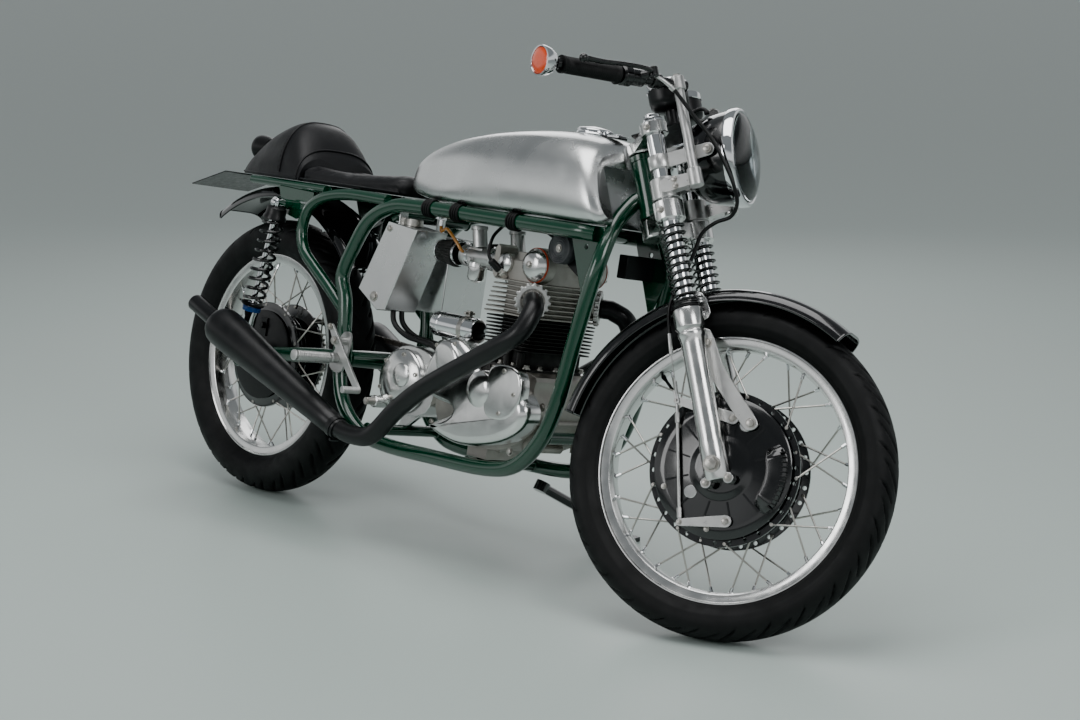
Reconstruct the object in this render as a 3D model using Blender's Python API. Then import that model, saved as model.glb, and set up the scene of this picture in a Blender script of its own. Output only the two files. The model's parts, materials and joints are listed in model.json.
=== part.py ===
# Cafe racer motorcycle, parked on its side stand with the steering on its left stop.
# Lengths are metres. In the bike's own frame +X is forward from the rear axle, +Y is left
# and +Z is up from the line that both tyres stand on; the root empty then leans it.
import math

import bpy
import bmesh
from mathutils import Matrix, Vector

for old in list(bpy.data.objects):
    bpy.data.objects.remove(old, do_unlink=True)

# Fits
gap = 0.0003
fuse_depth = 0.003
running_gap = 0.0006

# Chassis geometry
wheelbase = 1.431
rake = math.radians(25.16)
fork_offset = 0.057
steer_angle = math.radians(24.6)
front_tyre_radius = 0.322
front_tyre_half = 0.047
front_rim_radius = 0.256
front_rim_half = 0.030
rear_tyre_radius = 0.325
rear_tyre_half = 0.056
rear_rim_radius = 0.2425
rear_rim_half = 0.034
lean_guess = math.radians(11.7)

trail = (front_tyre_radius * math.sin(rake) - fork_offset) / math.cos(rake)
axle_height_share = math.cos(rake)
axle_along = trail * math.sin(rake) + front_tyre_radius * math.cos(rake)
right, left = -1, 1
sides = (("right", right), ("left", left))


def paint(name, colour, roughness, metallic):
    material = bpy.data.materials.new(name)
    material.use_nodes = True
    shader = material.node_tree.nodes["Principled BSDF"]
    shader.inputs["Base Color"].default_value = (*colour, 1)
    shader.inputs["Roughness"].default_value = roughness
    shader.inputs["Metallic"].default_value = metallic
    material.diffuse_color = (*colour, 1)
    return material


green_enamel = paint("green_enamel", (0.004, 0.075, 0.035), 0.2, 0)
black_enamel = paint("black_enamel", (0.012, 0.012, 0.013), 0.25, 0)
black_coating = paint("black_coating", (0.02, 0.02, 0.021), 0.5, 0)
brushed_alloy = paint("brushed_alloy", (0.78, 0.78, 0.77), 0.3, 1)
polished_alloy = paint("polished_alloy", (0.83, 0.83, 0.82), 0.16, 1)
cast_alloy = paint("cast_alloy", (0.55, 0.55, 0.54), 0.45, 1)
chrome = paint("chrome", (0.86, 0.87, 0.88), 0.06, 1)
steel = paint("steel", (0.6, 0.6, 0.6), 0.3, 1)
fin_black = paint("fin_black", (0.025, 0.025, 0.025), 0.55, 0.3)
tyre_rubber = paint("tyre_rubber", (0.022, 0.022, 0.023), 0.7, 0)
cable_rubber = paint("cable_rubber", (0.016, 0.016, 0.016), 0.55, 0)
seat_leather = paint("seat_leather", (0.02, 0.02, 0.021), 0.45, 0)
lamp_glass = paint("lamp_glass", (0.85, 0.88, 0.9), 0.05, 0)
black_plastic = paint("black_plastic", (0.015, 0.015, 0.015), 0.35, 0)


def solid(points, faces):
    mesh = bpy.data.meshes.new("solid")
    mesh.from_pydata([tuple(p) for p in points], [], faces)
    work = bmesh.new()
    work.from_mesh(mesh)
    bmesh.ops.recalc_face_normals(work, faces=work.faces)
    work.to_mesh(mesh)
    work.free()
    return mesh


def aim(start, toward):
    line = Vector(toward) - Vector(start)
    turn = line.to_track_quat("Z", "Y").to_matrix().to_4x4()
    return Matrix.Translation(start) @ turn


# A profile of (radius, height) pairs turned about local Z; a ring's profile closes on itself.
def turned(profile, facets, place=None, ring=False, start=0):
    points, rows, faces = [], [], []
    for radius, height in profile:
        if radius == 0:
            rows.append([len(points)] * facets)
            points.append(Vector((0, 0, height)))
            continue
        rows.append([len(points) + k for k in range(facets)])
        for k in range(facets):
            angle = start + math.tau * k / facets
            points.append(Vector((radius * math.cos(angle), radius * math.sin(angle), height)))
    pairs = list(zip(rows, rows[1:]))
    if ring:
        pairs.append((rows[-1], rows[0]))
    for low, high in pairs:
        for k in range(facets):
            face = (low[k], low[(k + 1) % facets], high[(k + 1) % facets], high[k])
            face = tuple(dict.fromkeys(face))
            if len(face) > 2:
                faces.append(face)
    if not ring:
        for row in (rows[0], rows[-1]):
            if row[0] != row[1]:
                faces.append(tuple(row))
    mesh = solid(points, faces)
    if place:
        mesh.transform(place)
    return mesh


def rod(start, end, radius, facets=12, end_radius=None):
    length = (Vector(end) - Vector(start)).length
    profile = [(radius, 0), (end_radius or radius, length)]
    return turned(profile, facets, aim(start, end))


def box(low, high, place=None):
    xs, ys, zs = zip(low, high)
    points = [Vector((x, y, z)) for x in xs for y in ys for z in zs]
    faces = [(0, 1, 3, 2), (4, 6, 7, 5), (0, 4, 5, 1), (2, 3, 7, 6), (0, 2, 6, 4), (1, 5, 7, 3)]
    mesh = solid(points, faces)
    if place:
        mesh.transform(place)
    return mesh


# An outline of (x, z) pairs made solid between two y values.
def slab(outline, y_from, y_to, place=None):
    count = len(outline)
    points = [Vector((x, y, z)) for y in (y_from, y_to) for x, z in outline]
    faces = [tuple(range(count)), tuple(range(count, 2 * count))]
    for k in range(count):
        after = (k + 1) % count
        faces.append((k, after, count + after, count + k))
    mesh = solid(points, faces)
    if place:
        mesh.transform(place)
    return mesh


def loft(rings):
    count = len(rings[0])
    points = [Vector(p) for ring in rings for p in ring]
    faces = [tuple(range(count)), tuple(range(len(points) - count, len(points)))]
    for row in range(len(rings) - 1):
        for k in range(count):
            after = (k + 1) % count
            base = row * count
            faces.append((base + k, base + after, base + count + after, base + count + k))
    return solid(points, faces)


# Points on a smooth curve through the given ones.
def smooth(route, steps):
    route = [Vector(p) for p in route]
    padded = [2 * route[0] - route[1]] + route + [2 * route[-1] - route[-2]]
    curve = []
    for before, here, there, after in zip(padded, padded[1:], padded[2:], padded[3:]):
        for step in range(steps):
            t = step / steps
            curve.append(0.5 * (2 * here + (there - before) * t
                                + (2 * before - 5 * here + 4 * there - after) * t ** 2
                                + (3 * here - before - 3 * there + after) * t ** 3))
    curve.append(route[-1])
    return curve


def sweep(route, radius, facets=8):
    rings = []
    side = None
    for k, point in enumerate(route):
        line = (route[min(k + 1, len(route) - 1)] - route[max(k - 1, 0)]).normalized()
        if side is None:
            side = line.orthogonal().normalized()
        side = (side - line * side.dot(line)).normalized()
        other = line.cross(side)
        ring = []
        for j in range(facets):
            angle = math.tau * j / facets
            ring.append(point + (side * math.cos(angle) + other * math.sin(angle)) * radius)
        rings.append(ring)
    return loft(rings)


# A closed section of (outward, y) pairs carried round the Y axis between two angles.
def arch(section, radius, angle_from, angle_to, steps, centre=(0, 0, 0)):
    rings = []
    for k in range(steps + 1):
        angle = angle_from + (angle_to - angle_from) * k / steps
        out = Vector((math.cos(angle), 0, math.sin(angle)))
        rings.append([Vector(centre) + out * (radius + rise) + Vector((0, y, 0)) for rise, y in section])
    return loft(rings)


def fuse(solids, cuts=()):
    scene_objects = bpy.context.scene.collection
    body = bpy.data.objects.new("body", solids[0])
    scene_objects.objects.link(body)
    kits = []
    for meshes, operation in ((solids[1:], "UNION"), (cuts, "DIFFERENCE")):
        if not meshes:
            continue
        kit = bpy.data.collections.new("kit")
        scene_objects.children.link(kit)
        for mesh in meshes:
            kit.objects.link(bpy.data.objects.new("tool", mesh))
        change = body.modifiers.new(operation, "BOOLEAN")
        change.operand_type = "COLLECTION"
        change.collection = kit
        change.operation = operation
        change.solver = "EXACT"
        kits.append(kit)
    view = bpy.context.evaluated_depsgraph_get()
    view.update()
    result = bpy.data.meshes.new_from_object(body.evaluated_get(view))
    for kit in kits:
        for tool in list(kit.objects):
            bpy.data.objects.remove(tool, do_unlink=True)
        bpy.data.collections.remove(kit)
    bpy.data.objects.remove(body, do_unlink=True)
    return result


def mirrored(mesh):
    twin = mesh.copy()
    twin.transform(Matrix.Diagonal((1, -1, 1, 1)))
    twin.flip_normals()
    return twin


def put(name, mesh, material, parent, origin=None):
    corners = [v.co for v in mesh.vertices]
    if origin is None:
        low = Vector([min(c[k] for c in corners) for k in range(3)])
        high = Vector([max(c[k] for c in corners) for k in range(3)])
        origin = (low + high) / 2
    origin = Vector(origin)
    mesh.transform(Matrix.Translation(-origin))
    mesh.name = name
    mesh.materials.clear()
    mesh.materials.append(material)
    mesh.shade_smooth()
    mesh.set_sharp_from_angle(angle=math.radians(35))
    piece = bpy.data.objects.new(name, mesh)
    piece.location = origin
    piece.parent = parent
    bpy.context.scene.collection.objects.link(piece)
    return piece


# A cable is a bevelled curve, so it keeps its own object data.
def cable(name, route, radius, material, parent, steps):
    curve = bpy.data.curves.new(name, "CURVE")
    curve.dimensions = "3D"
    curve.bevel_depth = radius
    curve.bevel_resolution = 2
    curve.use_fill_caps = True
    origin = Vector(route[0])
    points = smooth(route, steps)
    line = curve.splines.new("POLY")
    line.points.add(len(points) - 1)
    for spot, point in zip(line.points, points):
        spot.co = (*(point - origin), 1)
    curve.materials.append(material)
    piece = bpy.data.objects.new(name, curve)
    piece.location = origin
    piece.parent = parent
    bpy.context.scene.collection.objects.link(piece)
    return piece


def empty(name, parent, location=(0, 0, 0), rotation=(0, 0, 0)):
    holder = bpy.data.objects.new(name, None)
    holder.parent = parent
    holder.location = location
    holder.rotation_euler = rotation
    bpy.context.scene.collection.objects.link(holder)
    return holder


across = Matrix.Rotation(-math.pi / 2, 4, "X")
bike = empty("bike", None)
steering_head = empty("steering_head", bike, (wheelbase + trail, 0, 0), (0, -rake, 0))
steering_turn = empty("steering_turn", steering_head, (0, 0, 0), (0, 0, steer_angle))
front_hub_pivot = empty("front_hub_pivot", steering_turn, (fork_offset, 0, axle_along))
rear_hub_pivot = empty("rear_hub_pivot", bike, (0, 0, rear_tyre_radius))

# Wheels
rim_wall = 0.0035
bead_depth = 0.012
rim_lip = 0.004
well_drop = 0.009
well_half_share = 0.55
sidewall_shares = ((0.14, 0.83), (0.34, 0.98), (0.58, 0.99), (0.8, 0.82), (0.95, 0.45), (1, 0))
wheel_facets = 36
hub_facets = 18
spoke_radius = 0.0019
spokes_a_side = 18
spoke_rim_share = 0.2
axle_radius = 0.009
axle_facets = 12
hub_bore = (axle_radius + running_gap) / math.cos(math.pi / hub_facets)


def rim_profile(radius, half):
    seat = radius - bead_depth
    inner = seat - rim_lip
    well = inner - well_drop
    outer_half = [(radius, half - rim_wall), (radius, half), (inner, half), (well, half * well_half_share)]
    return [(seat, half - rim_wall)] + outer_half + [(r, -y) for r, y in outer_half[::-1]] \
        + [(seat, rim_wall - half)]


def tyre_profile(radius, half, rim_radius, rim_half):
    bead = rim_half - rim_wall - gap
    side = [(rim_radius - bead_depth + gap, bead), (rim_radius + gap, bead)]
    side += [(rim_radius + (radius - rim_radius) * up, half * out) for up, out in sidewall_shares]
    return side + [(r, -y) for r, y in side[-2::-1]]


def spokes(flange_radius, flange_half, rim_radius, rim_half):
    well = rim_radius - bead_depth - rim_lip - well_drop / 2
    pitch = math.tau / spokes_a_side
    made = []
    for side in (-1, 1):
        for k in range(spokes_a_side):
            hub_angle = pitch * (k + (side > 0) / 2)
            rim_angle = hub_angle + (pitch if k % 2 else -pitch)
            ends = []
            for angle, radius, y in ((hub_angle, flange_radius, side * flange_half),
                                     (rim_angle, well, side * rim_half * spoke_rim_share)):
                ends.append(Vector((radius * math.cos(angle), radius * math.sin(angle), y)))
            made.append(rod(ends[0], ends[1], spoke_radius, 3))
    return made


# Front hub: full width drum with a flange at each side
front_flange_radius = 0.148
front_flange_half = 0.040
front_flange_wall = 0.006
front_drum_radius = 0.128
front_cover_radius = 0.095
front_cover_rise = 0.008
front_boss_radius = 0.019
leg_spread = 0.0935
slider_radius = 0.0245
slider_inner = leg_spread - slider_radius
front_boss_end = slider_inner - running_gap
spoke_seat = 0.006
front_hub_profile = [
    (hub_bore, -front_flange_half),
    (front_flange_radius, -front_flange_half),
    (front_flange_radius, front_flange_wall - front_flange_half),
    (front_drum_radius, 2 * front_flange_wall - front_flange_half),
    (front_drum_radius, front_flange_half - 2 * front_flange_wall),
    (front_flange_radius, front_flange_half - front_flange_wall),
    (front_flange_radius, front_flange_half),
    (front_cover_radius, front_flange_half + front_cover_rise),
    (front_boss_radius, front_flange_half + 2 * front_cover_rise),
    (front_boss_radius, front_boss_end),
    (hub_bore, front_boss_end)]
front_tyre = turned(tyre_profile(front_tyre_radius, front_tyre_half, front_rim_radius, front_rim_half),
                    wheel_facets, across, True)
put("front_tyre", front_tyre, tyre_rubber, front_hub_pivot, (0, 0, 0))
front_metal = [turned(front_hub_profile, hub_facets, None, True),
               turned(rim_profile(front_rim_radius, front_rim_half), wheel_facets, None, True)]
front_metal += spokes(front_flange_radius - spoke_seat, front_flange_half - front_flange_wall / 2,
                      front_rim_radius, front_rim_half)
front_wheel = fuse(front_metal)
front_wheel.transform(across)
put("front_wheel", front_wheel, polished_alloy, front_hub_pivot, (0, 0, 0))

# Rear hub with its sprocket on the left
rear_flange_radius = 0.125
rear_flange_half = 0.038
rear_flange_wall = 0.006
rear_drum_radius = 0.095
rear_boss_radius = 0.024
sprocket_radius = 0.095
sprocket_wall = 0.006
sprocket_y = 0.070
carrier_radius = 0.05
arm_spread = 0.108
arm_radius = 0.0175
rear_boss_end = arm_spread - arm_radius - running_gap
rear_hub_profile = [
    (hub_bore, -rear_boss_end),
    (rear_boss_radius, -rear_boss_end),
    (rear_boss_radius, -rear_flange_half - rear_flange_wall),
    (rear_flange_radius - rear_flange_wall, -rear_flange_half - rear_flange_wall / 2),
    (rear_flange_radius, -rear_flange_half),
    (rear_flange_radius, rear_flange_wall - rear_flange_half),
    (rear_drum_radius, 2 * rear_flange_wall - rear_flange_half),
    (rear_drum_radius, rear_flange_half - 2 * rear_flange_wall),
    (rear_flange_radius, rear_flange_half - rear_flange_wall),
    (rear_flange_radius, rear_flange_half),
    (carrier_radius, rear_flange_half + rear_flange_wall),
    (carrier_radius, sprocket_y - sprocket_wall / 2),
    (sprocket_radius, sprocket_y - sprocket_wall / 2),
    (sprocket_radius, sprocket_y + sprocket_wall / 2),
    (rear_boss_radius, sprocket_y + sprocket_wall / 2),
    (rear_boss_radius, rear_boss_end),
    (hub_bore, rear_boss_end)]
rear_tyre = turned(tyre_profile(rear_tyre_radius, rear_tyre_half, rear_rim_radius, rear_rim_half),
                   wheel_facets, across, True)
put("rear_tyre", rear_tyre, tyre_rubber, rear_hub_pivot, (0, 0, 0))
rear_metal = [turned(rear_hub_profile, hub_facets, None, True),
              turned(rim_profile(rear_rim_radius, rear_rim_half), wheel_facets, None, True)]
rear_metal += spokes(rear_flange_radius - spoke_seat, rear_flange_half - rear_flange_wall / 2,
                     rear_rim_radius, rear_rim_half)
rear_wheel = fuse(rear_metal)
rear_wheel.transform(across)
put("rear_wheel", rear_wheel, polished_alloy, rear_hub_pivot, (0, 0, 0))

# Frame: each side is one tube, from the top rail round the back, along the bottom and up
# the front to the steering head; x and z are shares of the loop's length and height.
frame_rear = 0.354
frame_length = 0.774
frame_bottom = 0.209
frame_height = 0.519
frame_half = 0.120
frame_tube = 0.016
loop_shares = (
    # along, up, out
    (0.960, 0.998, 0.83),
    (0.900, 1.000, 0.97),
    (0.620, 1.000, 1.00),
    (0.310, 1.000, 1.00),
    (0.183, 0.985, 1.00),
    (0.085, 0.911, 1.00),
    (0.025, 0.765, 1.00),
    (0.000, 0.655, 1.00),
    (0.028, 0.560, 1.00),
    (0.046, 0.400, 1.00),
    (0.048, 0.260, 1.00),
    (0.090, 0.118, 1.00),
    (0.176, 0.025, 0.97),
    (0.283, 0.000, 0.92),
    (0.481, 0.006, 0.92),
    (0.700, 0.021, 0.92),
    (0.815, 0.069, 0.92),
    (0.893, 0.195, 0.92),
    (0.930, 0.345, 0.92),
    (0.955, 0.565, 0.92),
    (0.983, 0.775, 0.92),
    (0.996, 0.890, 0.88),
    (0.990, 0.990, 0.70),
    (0.977, 1.060, 0.46),
    (0.978, 1.125, 0.20),
    (0.986, 1.155, 0.06))
head_radius = 0.026
head_low = 0.8535
head_high = 0.9845
cross_radius = 0.0125
# Cross tubes between the two loops
cross_share_places = (
    # along, up, out
    (0.172, 0.95, 1.00), (0.46, 1.00, 1.00), (0.815, 1.00, 0.98), (0.176, 0.04, 0.97), (0.60, 0.015, 0.92),
    (0.888, 0.195, 0.92))
gusset_shares = ((0.87, 0.985), (0.955, 0.70), (1.0, 0.86), (0.985, 1.03), (0.87, 1.02))
gusset_from = 0.092
gusset_wall = 0.004
pivot_x = 0.394
pivot_z = 0.372
pivot_bolt_radius = 0.011
plate_wall = 0.005
plate_low = 0.034
plate_high = 0.085
plate_front = 0.028
plate_back = 0.030


def steered(x, y, z):
    return Vector((wheelbase + trail + x * math.cos(rake) - z * math.sin(rake), y,
                   x * math.sin(rake) + z * math.cos(rake)))


def loop_place(along, up, out=0):
    return Vector((frame_rear + frame_length * along, frame_half * out, frame_bottom + frame_height * up))


loop_route = [loop_place(*row) for row in loop_shares]
frame_solids = [sweep(loop_route, frame_tube)]
frame_solids.append(mirrored(frame_solids[0]))
frame_solids.append(rod(steered(0, 0, head_low), steered(0, 0, head_high), head_radius, 16))
for along, up, out in cross_share_places:
    place = loop_place(along, up)
    reach = Vector((0, frame_half * out - frame_tube / 2, 0))
    frame_solids.append(rod(place - reach, place + reach, cross_radius, 8))
for name, side in sides:
    outline = [tuple(loop_place(*share).xz) for share in gusset_shares]
    frame_solids.append(slab(outline, side * gusset_from, side * (gusset_from + gusset_wall)))
    plate = ((pivot_x - plate_back, pivot_z - plate_low), (pivot_x + plate_front, pivot_z - plate_low),
             (pivot_x + plate_front, pivot_z + plate_low), (pivot_x, pivot_z + plate_high),
             (pivot_x - plate_back, pivot_z + plate_high))
    inner = frame_half - plate_wall / 2
    frame_solids.append(slab(plate, side * inner, side * (inner + plate_wall)))
    frame_solids.append(rod((pivot_x, side * (frame_half - frame_tube), pivot_z),
                            (pivot_x, side * (frame_half + frame_tube), pivot_z), pivot_bolt_radius, 6))

# Side stand lug under the left rail; the stand itself comes at the end
stand_x = 0.83
stand_y = 0.122
stand_z = 0.172
stand_lug_radius = 0.016
stand_lug_half = 0.008
stand_rail_y = frame_half * 0.92

# Rear loops carry the seat, the dampers' top ends and the rear mudguard
seat_bottom = frame_bottom + frame_height + frame_tube + gap
rear_tube = 0.013
seat_rail_tube = 0.010
rear_loop_shares = (
    # along, down, from the top rail's rear bend to the foot of the loop
    (0.00, 0.00), (0.45, 0.00), (0.74, 0.06), (0.90, 0.18), (0.94, 0.36),
    (0.88, 0.52), (0.72, 0.65), (0.55, 0.77), (0.42, 0.87), (0.30, 0.96))
rear_loop_front = 0.475
rear_loop_length = 0.310
rear_loop_height = 0.270
seat_rail_rear = -0.060
seat_rail_front = 0.245
seat_rail_half = 0.100
damper_half = 0.148
damper_plate_y = 0.114
damper_wall = 0.007
damper_top = (0.118, 0.688)
damper_foot = (0.055, 0.352)
damper_eye = 0.014
damper_plate_shares = ((-0.050, 0.040), (0.085, 0.036), (0.085, -0.004), (0.030, -0.030), (-0.020, -0.020))
rear_solids = []
rear_cuts = [sweep(loop_route, frame_tube + gap)]
rear_cuts.append(mirrored(rear_cuts[0]))
for name, side in sides:
    top = seat_bottom - gap - rear_tube
    route = [Vector((rear_loop_front - rear_loop_length * along, side * frame_half,
                     top - rear_loop_height * down)) for along, down in rear_loop_shares]
    rear_solids.append(sweep(route, rear_tube))
    rail_z = seat_bottom - gap - seat_rail_tube
    rear_solids.append(rod((seat_rail_front, side * (frame_half - rear_tube / 2), rail_z),
                           (seat_rail_rear, side * seat_rail_half, rail_z), seat_rail_tube, 8))
    plate = [(damper_top[0] + x, damper_top[1] + z) for x, z in damper_plate_shares]
    rear_solids.append(slab(plate, side * (damper_plate_y - plate_wall / 2),
                            side * (damper_plate_y + plate_wall / 2)))
    rear_solids.append(rod((damper_top[0], side * damper_plate_y, damper_top[1]),
                           (damper_top[0], side * (damper_half - damper_wall - gap), damper_top[1]),
                           damper_eye * 0.8, 12))
rear_cross_z = seat_bottom - gap - seat_rail_tube
for x, half in ((seat_rail_rear + seat_rail_tube, seat_rail_half), (seat_rail_front, frame_half - rear_tube)):
    rear_solids.append(rod((x, -half, rear_cross_z), (x, half, rear_cross_z), seat_rail_tube * 0.9, 8))
subframe = fuse(rear_solids, rear_cuts)
put("subframe", subframe, green_enamel, bike)

# Swingarm
pivot_radius = 0.020
pivot_half = frame_half - frame_tube - gap
arm_pivot_half = 0.080
axle_plate_wall = 0.007
axle_plate_radius = 0.032
foot_stud_radius = 0.011
arm_solids = [rod((pivot_x, -pivot_half, pivot_z), (pivot_x, pivot_half, pivot_z), pivot_radius, 16)]
for name, side in sides:
    route = smooth([(pivot_x, side * arm_pivot_half, pivot_z),
                    (pivot_x * 0.62, side * (arm_spread + arm_pivot_half) / 2, pivot_z * 0.96),
                    (axle_plate_radius / 2, side * arm_spread, rear_tyre_radius)], 3)
    arm_solids.append(sweep(route, arm_radius, 10))
    inner = arm_spread - arm_radius
    arm_solids.append(rod((0, side * inner, rear_tyre_radius),
                          (0, side * (arm_spread + arm_radius / 2), rear_tyre_radius),
                          axle_plate_radius, 16))
    arm_solids.append(rod((damper_foot[0], side * arm_spread, damper_foot[1]),
                          (damper_foot[0], side * (damper_half - damper_wall - gap), damper_foot[1]),
                          foot_stud_radius, 12))
axle_hole = rod((0, -wheelbase, rear_tyre_radius), (0, wheelbase, rear_tyre_radius), axle_radius + gap, 16)
swingarm = fuse(arm_solids, [axle_hole])
put("swingarm", swingarm, green_enamel, bike, (pivot_x, 0, pivot_z))
nut_radius = 0.015
nut_wall = 0.012
rear_end = arm_spread + arm_radius / 2 + gap
rear_axle = fuse([rod((0, -rear_end - fuse_depth, rear_tyre_radius), (0, rear_end + fuse_depth, rear_tyre_radius),
                      axle_radius, axle_facets),
                  rod((0, rear_end, rear_tyre_radius), (0, rear_end + nut_wall, rear_tyre_radius), nut_radius, 6),
                  rod((0, -rear_end, rear_tyre_radius), (0, -rear_end - nut_wall, rear_tyre_radius),
                      nut_radius, 6)])
put("rear_axle", rear_axle, steel, bike, (0, 0, rear_tyre_radius))

# Rear dampers: a chromed body below, a spring over it and a shroud at the top
spring_out = 0.0275
spring_in = 0.0205
damper_coils = 9
damper_facets = 10
damper_body = 0.017
damper_shares = {"body_end": 0.24, "collar_end": 0.29, "spring_end": 0.90, "shroud_end": 0.955}
damper_length = math.dist(damper_top, damper_foot)
damper_profile = [(0, damper_eye / 2), (damper_eye / 2, damper_eye / 2), (damper_eye / 2, damper_eye),
                  (damper_body, damper_eye),
                  (damper_body, damper_length * damper_shares["body_end"]),
                  (spring_out, damper_length * damper_shares["body_end"]),
                  (spring_out, damper_length * damper_shares["collar_end"])]
spring_from = damper_length * damper_shares["collar_end"]
spring_length = damper_length * damper_shares["spring_end"] - spring_from
for k in range(damper_coils):
    damper_profile.append((spring_in, spring_from + spring_length * (k + 0.5) / damper_coils))
    damper_profile.append((spring_out, spring_from + spring_length * (k + 1) / damper_coils))
damper_profile += [(spring_in, damper_length * damper_shares["shroud_end"]),
                   (damper_eye / 2, damper_length * damper_shares["shroud_end"]),
                   (damper_eye / 2, damper_length - damper_eye / 2), (0, damper_length - damper_eye / 2)]
for name, side in sides:
    low = Vector((damper_foot[0], side * damper_half, damper_foot[1]))
    high = Vector((damper_top[0], side * damper_half, damper_top[1]))
    damper = [turned(damper_profile, damper_facets, aim(low, high))]
    for end in (low, high):
        wall = Vector((0, damper_wall, 0))
        damper.append(rod(end - wall, end + wall, damper_eye, 12))
    put("damper_" + name, fuse(damper), black_enamel, bike)

# Engine and gearbox
engine_front = 0.985
engine_rear = 0.680
crank_low = 0.258
crank_top = 0.428
crank_half = 0.085
crank_shares = ((0.0, 0.40), (0.10, 0.10), (0.32, 0.0), (0.70, 0.0), (0.93, 0.22), (1.0, 0.50),
                (1.0, 0.80), (0.93, 1.0), (0.36, 1.0), (0.0, 1.0))
mount_wall = 0.006
mount_half = 0.070
foot_half = 0.03


def engine_place(along, up):
    return (engine_rear + (engine_front - engine_rear) * along, crank_low + (crank_top - crank_low) * up)


crankcase = [slab([engine_place(*share) for share in crank_shares], -crank_half, crank_half)]
front_cross = loop_place(*cross_share_places[5][:2])
bottom_cross = loop_place(*cross_share_places[4][:2])
for side in (right, left):
    lug = ((engine_front - foot_half, front_cross.z - cross_radius * 2),
           (front_cross.x - cross_radius - gap, front_cross.z - cross_radius / 2),
           (front_cross.x - cross_radius - gap, front_cross.z + cross_radius / 2),
           (engine_front - foot_half, front_cross.z + foot_half))
    crankcase.append(slab(lug, side * (mount_half - mount_wall), side * mount_half))
crankcase.append(box((bottom_cross.x - foot_half, -mount_half, bottom_cross.z + cross_radius + gap),
                     (bottom_cross.x + foot_half, mount_half, crank_low + foot_half)))
put("crankcase", fuse(crankcase), cast_alloy, bike)

# Timing cover on the right and primary case on the left, each an outline with a domed face
cover_outlines = {
    "timing_cover": ((0.10, 1.10), (0.00, 0.72), (0.10, 0.48), (0.36, 0.38), (0.13, 0.12), (0.42, -0.02),
                     (0.80, 0.10), (1.03, 0.34), (1.06, 0.62), (0.88, 0.86), (0.58, 0.92), (0.46, 1.12),
                     (0.27, 1.26)),
}
cover_dome = 0.012
cover_bevel_share = 0.80
timing_out = 0.142


def domed(outline, y_from, y_to, dome, shrink):
    middle_x = sum(x for x, z in outline) / len(outline)
    middle_z = sum(z for x, z in outline) / len(outline)
    shape = [(x, y_from, z) for x, z in outline], [(x, y_to - dome, z) for x, z in outline]
    small = [(middle_x + (x - middle_x) * shrink, y_to, middle_z + (z - middle_z) * shrink) for x, z in outline]
    return loft([*shape, small])


timing_outline = [engine_place(*share) for share in cover_outlines["timing_cover"]]
put("timing_cover", domed(timing_outline, -crank_half - gap, -timing_out, -cover_dome, cover_bevel_share),
    polished_alloy, bike)

gearbox_x = 0.585
gearbox_z = 0.352
gearbox_radius = 0.066
gearbox_out = 0.125
gearbox_in = 0.052
gearbox_shaft = 0.008
kick_x = 0.535
kick_z = 0.298
kick_out = 0.028
front_sprocket = 0.042
front_sprocket_z = 0.360
shell_front = engine_rear - gap
shell_shares = ((-1.0, -0.55), (-0.55, -1.0), (0.5, -1.05), (1.0, -0.6), (1.0, 0.7), (0.4, 1.15), (-0.6, 0.95))
shell = []
for along, up in shell_shares:
    reach = shell_front - gearbox_x if along > 0 else gearbox_radius
    shell.append((gearbox_x + reach * along, gearbox_z + gearbox_radius * up))
gearbox = [slab(shell, -gearbox_out + cover_dome * 2, gearbox_in),
           turned([(gearbox_radius, 0), (gearbox_radius, cover_dome * 2), (gearbox_radius * 0.8, cover_dome * 3),
                   (0, cover_dome * 3.2)], 20,
                  aim((gearbox_x, cover_dome * 2.4 - gearbox_out, gearbox_z),
                      (gearbox_x, -gearbox_out - 1, gearbox_z))),
           rod((kick_x, -gearbox_out + cover_dome * 3, kick_z), (kick_x, -gearbox_out - kick_out, kick_z),
               gearbox_shaft, 8),
           rod((gearbox_x, gearbox_in - fuse_depth, front_sprocket_z),
               (gearbox_x, sprocket_y + sprocket_wall / 2, front_sprocket_z), front_sprocket, 20)]
rear_mount = loop_place(*cross_share_places[3][:2])
gearbox.append(slab(((rear_mount.x - cross_radius, rear_mount.z + cross_radius + gap),
                     (rear_mount.x + cross_radius, rear_mount.z + cross_radius + gap),
                     (gearbox_x, gearbox_z - gearbox_radius * 0.8),
                     (gearbox_x - gearbox_radius * 0.8, gearbox_z)), -mount_wall, mount_wall))
put("gearbox", fuse(gearbox), polished_alloy, bike)

primary_front = 0.885
primary_radius_front = 0.082
primary_radius_rear = 0.090
primary_z = 0.350
primary_out = 0.140
primary_steps = 9
primary_outline = []
for k in range(primary_steps):
    angle = -math.pi / 2 + math.pi * k / (primary_steps - 1)
    primary_outline.append((primary_front + primary_radius_front * math.cos(angle),
                            primary_z + primary_radius_front * math.sin(angle)))
for k in range(primary_steps):
    angle = math.pi / 2 + math.pi * k / (primary_steps - 1)
    primary_outline.append((gearbox_x + primary_radius_rear * math.cos(angle),
                            primary_z + primary_radius_rear * math.sin(angle)))
put("primary_case", domed(primary_outline, crank_half + gap, primary_out, cover_dome, cover_bevel_share),
    polished_alloy, bike)

# Cylinder barrel and head, both finned blocks with rounded corners
barrel_x = 0.880
barrel_core = (0.056, 0.084)
barrel_base = (0.062, 0.083)
barrel_fin = (0.072, 0.104)
barrel_fins = 5
barrel_base_height = 0.036
barrel_top = 0.535
head_fins = 6
head_top = 0.612
head_core = (0.062, 0.090)
head_fin = (0.078, 0.108)
fin_share = 0.34
corner_share = 0.45


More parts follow.
